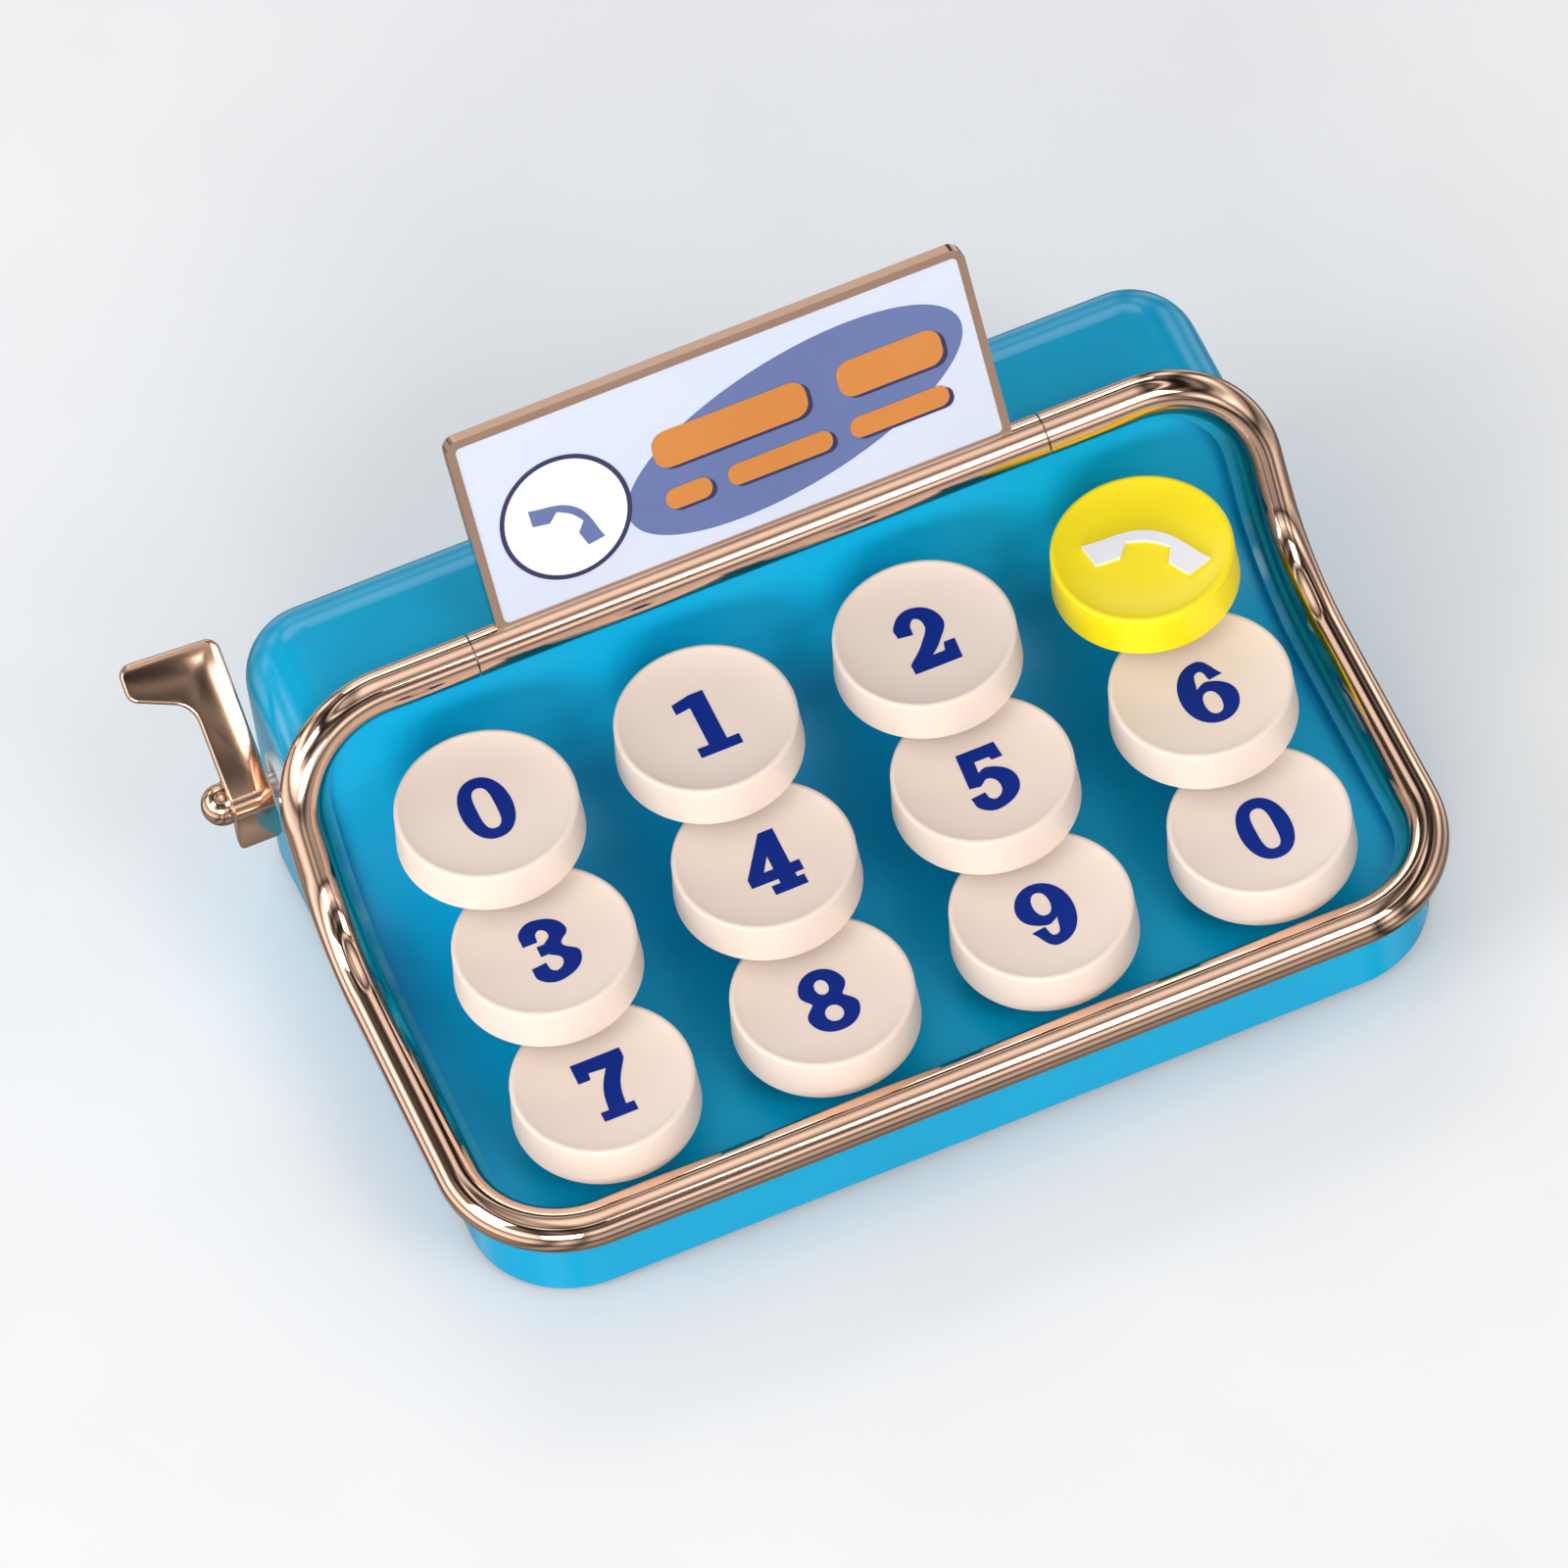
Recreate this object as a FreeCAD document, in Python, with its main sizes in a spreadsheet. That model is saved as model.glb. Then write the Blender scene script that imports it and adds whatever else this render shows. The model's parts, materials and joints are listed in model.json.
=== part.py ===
"""Toy phone in the shape of a small typewriter, as a parametric FreeCAD document.

Millimetres. X runs along the phone, Y from the keys to the back, Z up from the table.
The origin is the middle of the anti-slip pad's underside.
"""

import FreeCAD, Part
import math
import os
import re

import Sketcher

Vector = FreeCAD.Vector
ALONG_X = FreeCAD.Rotation(Vector(0, 1, 0), 90)
ALONG_Y = FreeCAD.Rotation(Vector(1, 0, 0), -90)
UPRIGHT = FreeCAD.Rotation()

# Driving sizes, which the spreadsheet holds.
SIZES = {
    # housing
    "body_width": 104.6,
    "body_depth": 71.1,
    "front_corner": 11.0,
    "rear_corner": 7.5,
    "hump_round": 6.3,
    "hump_drop": 1.6,
    "foot_gap": 0.8,
    "wall": 2.0,
    "base_thickness": 1.8,
    "seam": 0.15,
    "pad_length": 72.0,
    "pad_depth": 46.0,
    # bent tube frame; its levels and runs are those of the tube's axis
    "frame_level": 12.3,
    "frame_overhang": 0.9,
    "frame_side": 0.3,
    "frame_corner": 11.3,
    "frame_bend": 14.0,
    "lower_run": 43.6,
    "lower_slope": 0.9,
    "upper_run": 25.4,
    "upper_slope": 66.1,
    "tube_radius": 2.3,
    "seat_drop": 1.2,
    "fit_gap": 0.05,
    "opening_inset": 3.3,
    "deck_thickness": 1.6,
    "deck_lip": 1.3,
    "stud_radius": 0.7,
    # keys
    "column_pitch": 24.0,
    "row_pitch": 13.9,
    "row_rise": 6.2,
    "front_row": 12.4,
    "front_key_level": 0.8,
    "key_radius": 9.65,
    "key_shoulder": 9.4,
    "key_rim": 8.8,
    "key_height": 5.1,
    "key_skin": 1.2,
    "stem_radius": 2.0,
    "stem_running_gap": 0.06,
    "guide_wall": 1.5,
    "flange_radius": 3.0,
    "flange_thickness": 0.7,
    # electronics
    "board_length": 86.0,
    "board_depth": 46.4,
    "board_front": 3.6,
    "board_screw_inset": 3.5,
    "board_thickness": 1.2,
    "board_gap": 0.4,
    "mat_thickness": 0.5,
    "dome_radius": 3.2,
    "dome_skin": 0.35,
    "mat_margin": 0.8,
    "speaker_radius": 10.0,
    "speaker_offset": -28.5,
    "speaker_level": 18.5,
    "grille_hole": 0.9,
    "cell_radius": 5.25,
    "cell_length": 44.5,
    "cell_gap": 0.25,
    "holder_wall": 1.2,
    "contact_gap": 2.2,
    "holder_middle": 19.3,
    "door_width": 58.0,
    "door_height": 24.5,
    "door_middle": 14.9,
    "door_rebate": 1.0,
    "door_flange": 1.5,
    # sign
    "sign_bar_length": 62.5,
    "split_gap": 0.2,
    "sign_width": 56.5,
    "sign_height": 24.4,
    "sign_thickness": 1.6,
    "sign_rim": 0.9,
    "card_thickness": 0.5,
    "sign_lean": 67.0,
    "sign_running_gap": 0.35,
    "sign_pin_radius": 1.2,
    "sign_pin_reach": 4.0,
    "sign_pin_gap": 0.4,
    # lever
    "lever_back": 3.1,
    "lever_below": 12.5,
    "lever_angle": 42.0,
    "lever_inner": 1.6,
    "lever_arm_width": 4.6,
    "lever_reach": 16.4,
    "lever_tip": 10.6,
    "lever_thickness": 1.4,
    "lever_tail": 5.4,
    "shaft_radius": 1.4,
    "eye_wall": 1.0,
    "nut_radius": 2.2,
    "nut_inset": 0.5,
    "bush_wall": 1.0,
    "bush_flange": 0.7,
    "bush_reach": 1.5,
    "bracket_inset": 13.0,
    "bracket_thickness": 2.0,
    "bracket_gap": 0.35,
    "spring_pitch": 0.55,
    "spring_wire": 0.25,
    "spring_turns": 5.0,
    # fasteners
    "screw_radius": 0.9,
    "screw_head": 1.8,
    "screw_head_height": 1.0,
    "post_radius": 2.6,
}

# Sizes worked out from the driving ones.
DERIVED = {
    "half_width": "body_width / 2",
    "half_depth": "body_depth / 2",
    "bar_y": "-half_depth - frame_overhang",
    "bar_z": "frame_level",
    "side_x": "half_width + frame_side",
    "kink_y": "bar_y + lower_run * cos(lower_slope)",
    "kink_z": "bar_z + lower_run * sin(lower_slope)",
    "top_y": "kink_y + upper_run * cos(upper_slope)",
    "top_z": "kink_z + upper_run * sin(upper_slope)",
    "hump_top": "top_z - hump_drop",
    "inner_x": "half_width - wall",
    "inner_y": "half_depth - wall",
    "deck_depth": "seat_drop + wall",
    "base_top": "foot_gap + base_thickness",
    "board_z": "base_top + board_gap",
    "board_y": "bar_y + board_front",
    "mat_z": "board_z + board_thickness",
    "guide_foot": "bar_z - (deck_depth + deck_thickness) / cos(lower_slope) - 0.2",
    "stem_foot": "guide_foot - flange_thickness - fit_gap",
    "dome_height": "stem_foot - mat_z - mat_thickness",
    "guide_radius": "stem_radius + stem_running_gap + guide_wall",
    "guide_drop": "0.5",
    "post_x": "inner_x - post_radius + 0.4",
    "post_front_y": "-half_depth + front_corner - 1",
    "post_rear_y": "bar_y + lower_run",
    "post_top": "guide_foot",
    "cell_y": "inner_y - cell_radius - cell_gap - 0.3",
    "cell_low_z": "base_top + holder_wall + cell_radius + cell_gap",
    "cell_high_z": "cell_low_z + 2 * cell_radius + cell_gap",
    "holder_length": "cell_length + 2 * (contact_gap + holder_wall)",
    "holder_front_y": "cell_y - cell_radius - cell_gap - holder_wall",
    "holder_top": "cell_high_z + cell_radius + cell_gap + holder_wall",
    "lever_y": "top_y + lever_back",
    "lever_z": "top_z - lever_below",
    "lever_side": "-half_width - lever_inner",
    "eye_radius": "shaft_radius + eye_wall",
    "bush_radius": "shaft_radius + fit_gap + bush_wall",
    "bracket_x": "-half_width + bracket_inset",
    "bush_end": "-half_width + wall + bush_reach",
    "sign_end": "sign_bar_length / 2 + split_gap",
    "door_level": "(cell_low_z + cell_high_z) / 2",
    "door_screw_x": "door_middle - door_width / 2 + 4.5",
    "holder_left": "holder_middle - holder_length / 2",
    "post_pilot": "post_top - base_top - 1",
    "base_screw_seat": "foot_gap + screw_head_height + 0.1",
    "sign_pin_inner": "sign_bar_length / 2 - sign_width / 2 - sign_pin_gap",
}

COLUMNS = range(4)
KEY_NAMES = (
    ("key_0", "key_1", "key_2", "key_call"),
    ("key_3", "key_4", "key_5", "key_6"),
    ("key_7", "key_8", "key_9", "key_0_front"),
)

doc = FreeCAD.newDocument("toy_phone")


def make_sheet():
    """The spreadsheet of driving sizes, one alias to a cell."""
    sheet = doc.addObject("Spreadsheet::Sheet", "Sizes")
    for row, (name, size) in enumerate(SIZES.items(), start=1):
        sheet.set(f"A{row}", name)
        sheet.set(f"B{row}", str(size))
        sheet.setAlias(f"B{row}", name)
    doc.recompute()
    return sheet


sheet = make_sheet()


def cells(text):
    """An expression in the plain names above, written out for the spreadsheet's cells."""

    def swap(found):
        word = found.group(0)
        if word in DERIVED:
            return "(" + cells(DERIVED[word]) + ")"
        return "Sizes." + word if word in SIZES else word

    return re.sub(r"[A-Za-z_][A-Za-z_0-9]*", swap, str(text))


def value(text):
    """What an expression comes to now."""
    return float(sheet.evalExpression(cells(text)))


# Shapes -----------------------------------------------------------------------------------------


def bind(thing, **sizes):
    """Ties properties to expressions; an underscore in a name stands for the dot in its path."""
    for name, text in sizes.items():
        thing.setExpression(name.replace("__", "."), cells(text))
    return thing


def place(thing, at, turn=UPRIGHT):
    """Ties an object's place to three expressions."""
    thing.Placement = FreeCAD.Placement(Vector(), turn)
    for letter, text in zip("xyz", at):
        thing.setExpression(f"Placement.Base.{letter}", cells(text))
    return thing


def box(label, size, at):
    """A block: its three lengths, and its lowest corner."""
    block = doc.addObject("Part::Box", label)
    bind(block, Length=size[0], Width=size[1], Height=size[2])
    return place(block, at)


def rod(label, radius, length, at, turn=UPRIGHT):
    """A cylinder from a point, up or along the direction that turn gives."""
    cylinder = doc.addObject("Part::Cylinder", label)
    bind(cylinder, Radius=radius, Height=length)
    return place(cylinder, at, turn)


def fuse(label, *shapes):
    joined = doc.addObject("Part::MultiFuse", label)
    joined.Shapes = list(shapes)
    joined.Refine = True
    return joined


def group(label, *shapes):
    """Separate solids kept in one piece, such as four like screws."""
    compound = doc.addObject("Part::Compound", label)
    compound.Links = list(shapes)
    return compound


def cut(label, base, *tools):
    """The base with every tool taken out of it."""
    difference = doc.addObject("Part::Cut", label)
    difference.Base = base
    difference.Tool = tools[0] if len(tools) == 1 else fuse(label + "_cutters", *tools)
    return difference


def make_body(label):
    return doc.addObject("PartDesign::Body", label)


def sketch_on(body, role, offset=None):
    """A sketch on one of the body's own planes, lifted off it by an expression."""
    plane = next(f for f in body.Origin.OriginFeatures if f.Role == role)
    sketch = body.newObject("Sketcher::SketchObject", body.Name + "_sketch")
    sketch.AttachmentSupport = (plane, [""])
    sketch.MapMode = "FlatFace"
    if offset is not None:
        sketch.setExpression("AttachmentOffset.Base.z", cells(offset))
    return sketch


def outline(sketch, corners):
    """A closed outline whose corners are tied to expressions."""
    first = sketch.GeometryCount
    points = [Vector(value(x), value(y), 0) for x, y in corners]
    count = len(points)
    for i in range(count):
        sketch.addGeometry(Part.LineSegment(points[i], points[(i + 1) % count]), False)
    for i in range(count):
        after = first + (i + 1) % count
        sketch.addConstraint(Sketcher.Constraint("Coincident", first + i, 2, after, 1))
    for i, texts in enumerate(corners):
        for kind, text in zip(("DistanceX", "DistanceY"), texts):
            rule = Sketcher.Constraint(kind, -1, 1, first + i, 1, value(text))
            index = sketch.addConstraint(rule)
            sketch.setExpression(f"Constraints[{index}]", cells(text))
    return sketch


def pad(body, sketch, length):
    feature = body.newObject("PartDesign::Pad", body.Name + "_pad")
    feature.Profile = sketch
    bind(feature, Length=length)
    doc.recompute()
    return feature


def pocket(body, sketch, length):
    """A cut along the sketch's normal."""
    feature = body.newObject("PartDesign::Pocket", body.Name + "_pocket")
    feature.Profile = sketch
    feature.Reversed = True
    bind(feature, Length=length)
    before = body.Shape.Volume
    doc.recompute()
    if not body.Shape.Volume < before:
        raise ValueError(f"{body.Label}: the pocket cut nothing")
    return feature


def revolve(body, sketch):
    """A full turn about the sketch's vertical axis."""
    feature = body.newObject("PartDesign::Revolution", body.Name + "_turn")
    feature.Profile = sketch
    feature.ReferenceAxis = (sketch, ["V_Axis"])
    feature.Angle = 360
    doc.recompute()
    return feature


def round_edges(body, radius, chosen):
    """Rounds the edges of the body's last feature that the test picks."""
    last = body.Tip
    names = [f"Edge{i}" for i, e in enumerate(last.Shape.Edges, start=1) if chosen(e)]
    if not names:
        raise ValueError(f"{body.Label}: no edge to round")
    feature = body.newObject("PartDesign::Fillet", body.Name + "_round")
    feature.Base = (last, names)
    bind(feature, Radius=radius)
    doc.recompute()
    return feature


def is_upright(edge):
    ends = edge.Vertexes
    return len(ends) == 2 and abs(ends[0].Z - ends[1].Z) > 0.9 * edge.Length > 0


def rectangle(x_low, x_high, y_low, y_high):
    return [(x_low, y_low), (x_high, y_low), (x_high, y_high), (x_low, y_high)]


def rounded_plate(label, corners, z, thickness, radius):
    """A flat plate with upright rounded corners."""
    body = make_body(label)
    pad(body, outline(sketch_on(body, "XY_Plane", z), corners), thickness)
    round_edges(body, radius, is_upright)
    return body


# The bent surfaces, which all follow the tube's axis ---------------------------------------------


def front_point(depth, along):
    """A point of the lower run, so far along it and so deep below the tube's axis."""
    return (
        f"bar_y + ({along}) * cos(lower_slope) + ({depth}) * sin(lower_slope)",
        f"bar_z + ({along}) * sin(lower_slope) - ({depth}) * cos(lower_slope)",
    )


def kink_point(depth):
    """Where the lower and upper runs meet, so deep below the tube's axis."""
    reach = f"({depth}) / cos((upper_slope - lower_slope) / 2)"
    return (
        f"kink_y + {reach} * sin((upper_slope + lower_slope) / 2)",
        f"kink_z - {reach} * cos((upper_slope + lower_slope) / 2)",
    )


def upper_point(depth, along):
    """A point of the upper run, so far up from the kink and so deep below the tube's axis."""
    return (
        f"kink_y + ({along}) * cos(upper_slope) + ({depth}) * sin(upper_slope)",
        f"kink_z + ({along}) * sin(upper_slope) - ({depth}) * cos(upper_slope)",
    )


def is_kink(edge, depth):
    """Is this the edge along X where the two runs meet at that depth?"""
    y, z = (value(text) for text in kink_point(depth))
    middle = edge.CenterOfMass
    return abs(middle.y - y) < 0.01 and abs(middle.z - z) < 0.01


# Housing ----------------------------------------------------------------------------------------


def housing_block(label, inset, bottom, top, depth):
    """The housing's solid outline, drawn in by an inset, with the keypad's bent face cut off it."""
    body = make_body(label)
    x, y = f"half_width - ({inset})", f"half_depth - ({inset})"
    corners = rectangle(f"-({x})", x, f"-({y})", y)
    pad(body, outline(sketch_on(body, "XY_Plane", bottom), corners), f"{top} - ({bottom})")
    for radius, side in (("front_corner", -1), ("rear_corner", 1)):
        round_edges(
            body,
            f"{radius} - ({inset})",
            lambda e, side=side: is_upright(e)
            and e.CenterOfMass.y * side > 0
            and e.Curve.TypeId == "Part::GeomLine",
        )
    far, high = "-body_width", "hump_top + body_depth"
    front, back = front_point(depth, "-front_corner"), upper_point(depth, "2 * upper_run")
    corners = [front, kink_point(depth), back, (back[0], high), (front[0], high)]
    pocket(body, outline(sketch_on(body, "YZ_Plane", far), corners), "2 * body_width")
    round_edges(body, f"frame_bend + ({depth})", lambda e: is_kink(e, depth))
    level = value(top)
    crest = value(upper_point(depth, f"({top} - kink_z) / sin(upper_slope)")[0])

    def on_hump(edge):
        box_ = edge.BoundBox
        flat = abs(box_.ZMin - level) < 0.01 and abs(box_.ZMax - level) < 0.01
        return flat and edge.CenterOfMass.y > crest + 2

    round_edges(body, f"hump_round - ({inset})", on_hump)
    return body


def tube_path():
    """The tube's axis: straight runs and arcs, open across the sign's place in the top bar."""
    bar_y, bar_z, side = value("bar_y"), value("bar_z"), value("side_x")
    corner, bend, end = value("frame_corner"), value("frame_bend"), value("sign_end")
    low, high = math.radians(value("lower_slope")), math.radians(value("upper_slope"))
    along = Vector(0, math.cos(low), math.sin(low))
    up = Vector(0, math.cos(high), math.sin(high))
    front = Vector(side, bar_y, bar_z)
    kink = front + along * value("lower_run")
    top = kink + up * value("upper_run")
    left = Vector(-1, 0, 0)
    setback = bend * math.tan((high - low) / 2)

    def arc(point, before, after, radius, turn):
        """A tangent arc between two directions that meet at a point."""
        back = radius * math.tan(turn / 2)
        start, stop = point - before * back, point + after * back
        inward = after - before
        inward.normalize()
        middle = point + inward * (radius / math.cos(turn / 2) - radius)
        return start, Part.Arc(start, middle, stop).toShape(), stop

    half_turn = math.pi / 2
    arcs = [
        arc(front, Vector(1, 0, 0), along, corner, half_turn),
        arc(kink, along, up, bend, high - low),
        arc(top, up, left, corner, half_turn),
    ]
    assert setback < value("upper_run") - corner
    edges, at = [], Vector(0, bar_y, bar_z)
    for start, bow, stop in arcs:
        edges += [Part.LineSegment(at, start).toShape(), bow]
        at = stop
    edges.append(Part.LineSegment(at, Vector(end, top.y, top.z)).toShape())
    half = Part.Wire(edges)
    other = half.mirror(Vector(), Vector(1, 0, 0))
    return Part.Wire(Part.__sortEdges__(half.Edges + other.Edges))


def tube(label, radius):
    """A round tube along the frame's axis."""
    path = tube_path()
    start = path.OrderedVertexes[0].Point
    direction = path.OrderedEdges[0].tangentAt(path.OrderedEdges[0].FirstParameter)
    section = Part.Wire(Part.Circle(start, direction, value(radius)).toShape())
    feature = doc.addObject("Part::Feature", label)
    feature.Shape = path.makePipeShell([section], True, False)
    return feature


def rods(label, radius, length, spots, turn=UPRIGHT):
    """One rod at each spot."""
    return [rod(f"{label}_{i}", radius, length, at, turn) for i, at in enumerate(spots)]


STUD_SPOTS = [
    (f"{side} * (half_width - wall / 2)", y, f"{z} + 0.3")
    for side in (-1, 1)
    for y, z in (front_point("deck_depth", f"lower_run * {share}") for share in (0.35, 0.75))
]


def post_spots(z):
    return [(f"{side} * post_x", y, z) for side in (-1, 1) for y in ("post_front_y", "post_rear_y")]


def opening_block():
    """What is taken out of the skin inside the frame: one rounded block for each run."""
    inner = "side_x - opening_inset"
    radius = "frame_corner - opening_inset"
    lower = make_body("opening_lower")
    corners = rectangle(f"-({inner})", inner, "opening_inset", "lower_run + seat_drop")
    floor = sketch_on(lower, "XY_Plane", "-2 * deck_depth")
    pad(lower, outline(floor, corners), "2 * deck_depth + tube_radius")
    y = value("opening_inset") + 1
    round_edges(lower, radius, lambda e: is_upright(e) and e.CenterOfMass.y < y)
    place(lower, ("0", "bar_y", "bar_z"), FreeCAD.Rotation(Vector(1, 0, 0), value("lower_slope")))
    bind(lower, Placement__Rotation__Angle="lower_slope")
    upper = make_body("opening_upper")
    corners = rectangle(f"-({inner})", inner, "-seat_drop", "upper_run - opening_inset")
    floor = sketch_on(upper, "XY_Plane", "-deck_depth - 1")
    pad(upper, outline(floor, corners), "deck_depth + 1 + tube_radius")
    round_edges(upper, radius, lambda e: is_upright(e) and e.CenterOfMass.y > y)
    place(upper, ("0", "kink_y", "kink_z"), FreeCAD.Rotation(Vector(1, 0, 0), value("upper_slope")))
    bind(upper, Placement__Rotation__Angle="upper_slope")
    return fuse("deck_opening", lower, upper)


def grille_holes():
    """Sound holes in the back wall: one in the middle and two rings."""
    holes = []
    for ring, count in ((0, 1), (1, 6), (2, 12)):
        for n in range(count):
            angle = 360 * n / count
            reach = f"{ring} * 3.6 * grille_hole"
            spot = (
                f"speaker_offset + {reach} * cos({angle})",
                "inner_y - 1",
                f"speaker_level + {reach} * sin({angle})",
            )
            holes.append(rod("sound_hole", "grille_hole", "wall + 2", spot, ALONG_Y))
    return fuse("sound_holes", *holes)


def door_plate(label, grow, depth, y):
    """An upright rounded block of the battery door's outline."""
    body = make_body(label)
    x, z = f"door_width / 2 + ({grow})", f"door_height / 2 + ({grow})"
    corners = rectangle(
        f"door_middle - ({x})", f"door_middle + ({x})", f"door_level - ({z})", f"door_level + ({z})"
    )
    pad(body, outline(sketch_on(body, "XZ_Plane", f"-({y}) - ({depth})"), corners), depth)
    length = value(depth)

    def runs_along_y(edge):
        ends = edge.Vertexes
        return len(ends) == 2 and abs(abs(ends[0].Y - ends[1].Y) - length) < 0.001

    round_edges(body, "wall", runs_along_y)
    return body


def body_shell():
    """The moulded housing: open below, with the keypad's opening and the frame's groove."""
    outside = housing_block("shell_outside", "0", "foot_gap", "hump_top", "seat_drop")
    inside = housing_block("shell_inside", "wall", "foot_gap - 1", "hump_top - wall", "deck_depth")
    posts = rods("screw_post", "post_radius", "post_top - base_top", post_spots("base_top"))
    lever_hole = rod(
        "lever_hole",
        "bush_radius + fit_gap",
        "wall + 2",
        ("-half_width - 1", "lever_y", "lever_z"),
        ALONG_X,
    )
    sign_groove = rod(
        "sign_groove",
        "tube_radius + sign_running_gap",
        "2 * sign_end",
        ("-sign_end", "top_y", "top_z"),
        ALONG_X,
    )
    studs = rods("stud_hole", "stud_radius + fit_gap", "deck_depth", STUD_SPOTS)
    pilots = rods("pilot", "screw_radius", "post_pilot", post_spots("base_top"))
    hollow = cut("shell_hollow", outside, inside)
    walled = fuse("shell_walled", hollow, *posts)
    return cut(
        "body_shell",
        walled,
        opening_block(),
        tube("tube_groove", "tube_radius + fit_gap"),
        sign_groove,
        lever_hole,
        grille_holes(),
        door_plate("door_recess", "seam", "door_rebate + 1", "half_depth - door_rebate"),
        door_plate("door_window", "-door_flange", "wall + 2", "inner_y - 1"),
        *studs,
        *pilots,
    )


def base_plate():
    """The plate that closes the housing from below, with the circuit board's four standoffs."""
    x, y = "inner_x - seam", "inner_y - seam"
    plate = make_body("base_blank")
    corners = rectangle(f"-({x})", x, f"-({y})", y)
    pad(plate, outline(sketch_on(plate, "XY_Plane", "foot_gap"), corners), "base_thickness")
    for radius, side in (("front_corner", -1), ("rear_corner", 1)):
        round_edges(
            plate,
            f"{radius} - wall - seam",
            lambda e, side=side: is_upright(e)
            and e.CenterOfMass.y * side > 0
            and e.Curve.TypeId == "Part::GeomLine",
        )
    standoffs = rods("standoff", "screw_head + 0.6", "board_gap", board_spots("base_top"))
    body = fuse("base_with_standoffs", plate, *standoffs)
    holes = rods("base_hole", "screw_radius + seam", "base_thickness", post_spots("foot_gap"))
    sinks = rods(
        "base_sink", "screw_head + seam", "screw_head_height + 0.1", post_spots("foot_gap")
    )
    pilots = rods("board_pilot", "screw_radius", "board_gap + 1", board_spots("base_top - 1"))
    return cut("base_plate", body, *holes, *sinks, *pilots)


def board_spots(z):
    rows = ("board_y + screw_head + 0.6", "board_y + board_depth - board_screw_inset")
    return [
        (f"{side} * (board_length / 2 - board_screw_inset)", y, z) for side in (-1, 1) for y in rows
    ]


def screws(label, spots, length, head_up):
    """Round-headed screws: a shaft and a head with a cross slot."""
    made = []
    for i, (x, y, z) in enumerate(spots):
        shaft_z = f"{z} - ({length})" if head_up else z
        head_z = z if head_up else f"{z} - screw_head_height"
        slot_z = f"{head_z} + screw_head_height * 0.5" if head_up else head_z
        shaft = rod(f"{label}_shaft", "screw_radius", length, (x, y, shaft_z))
        head = rod(f"{label}_head", "screw_head", "screw_head_height", (x, y, head_z))
        slots = [
            box(
                f"{label}_slot",
                (size[0], size[1], "screw_head_height * 0.5"),
                (f"{x} - ({size[0]}) / 2", f"{y} - ({size[1]}) / 2", slot_z),
            )
            for size in (("screw_head * 1.3", "0.4"), ("0.4", "screw_head * 1.3"))
        ]
        made.append(cut(f"{label}_{i}", fuse(f"{label}_whole", shaft, head), *slots))
    return group(label, *made)


def anti_slip_pad():
    """The rubber pad under the base, which the phone rests on."""
    size = ("pad_length", "pad_depth", "foot_gap")
    return box("anti_slip_pad", size, ("-pad_length / 2", "-pad_depth / 2", "0"))


# Keypad -----------------------------------------------------------------------------------------


def key_spot(row, column):
    """The middle of a key's underside. Row 0 is the rear one."""
    steps = len(KEY_NAMES) - 1 - row
    x = f"column_pitch * {column - (len(COLUMNS) - 1) / 2}"
    y = f"bar_y + front_row + row_pitch * {steps}"
    z = f"bar_z + front_key_level + row_rise * {steps}"
    return x, y, z


def deck_panel():
    """The bent panel behind the keys: it fills the housing and has a guide for each key's stem."""
    top, bottom = "deck_depth", "deck_depth + deck_thickness"
    near, far = "0", "upper_run - opening_inset + deck_lip"
    half = "half_width"
    blank = make_body("deck_blank")
    corners = [
        front_point(top, near),
        kink_point(top),
        upper_point(top, far),
        upper_point(bottom, far),
        kink_point(bottom),
        front_point(bottom, near),
    ]
    pad(blank, outline(sketch_on(blank, "YZ_Plane", f"-({half})"), corners), f"2 * ({half})")
    for depth in (top, bottom):
        round_edges(blank, f"frame_bend + ({depth})", lambda e, depth=depth: is_kink(e, depth))
    guides, bores = [], []
    for row, names in enumerate(KEY_NAMES):
        for column, name in enumerate(names):
            x, y, z = key_spot(row, column)
            height = f"{z} - guide_drop - (guide_foot)"
            spot = (x, y, "guide_foot")
            guides.append(rod(f"{name}_guide", "guide_radius", height, spot))
            bores.append(rod(f"{name}_bore", "stem_radius + stem_running_gap", height, spot))
    inset = "wall + seam"
    room = housing_block("deck_room", inset, "base_top", f"hump_top - ({inset})", "seat_drop")
    trimmed = doc.addObject("Part::MultiCommon", "deck_trimmed")
    trimmed.Shapes = [blank, room]
    return cut("deck_panel", fuse("deck_with_guides", trimmed, *guides), *bores)


def key_cap(name, row, column):
    """A dished round cap, hollow below, with a socket for its stem."""
    cap = make_body(name + "_cap")
    socket = "stem_radius + guide_wall"
    inner = "key_radius - key_skin"
    roof = "key_height - key_skin"
    profile = [
        ("stem_radius", "0.5"),
        (socket, "0.5"),
        (socket, roof),
        (inner, roof),
        (inner, "0"),
        ("key_radius", "0"),
        ("key_shoulder", "key_height - 0.9"),
        ("key_rim", "key_height"),
        ("key_rim - 0.7", "key_height"),
        ("key_rim - 2.2", "key_height - 0.4"),
        ("0", "key_height - 0.5"),
        ("0", roof + " - 0.4"),
        ("stem_radius", roof + " - 0.4"),
    ]
    revolve(cap, outline(sketch_on(cap, "XZ_Plane"), profile))
    return place(cap, key_spot(row, column))


def key_stem(name, row, column):
    """The post under a cap: it slides in its guide and ends in a flange on the dome."""
    x, y, z = key_spot(row, column)
    top = f"{z} + key_height - key_skin - 0.4"
    post = rod(f"{name}_post", "stem_radius", f"{top} - (stem_foot)", (x, y, "stem_foot"))
    flange = rod(f"{name}_flange", "flange_radius", "flange_thickness", (x, y, "stem_foot"))
    return fuse(name + "_stem", post, flange)


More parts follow.
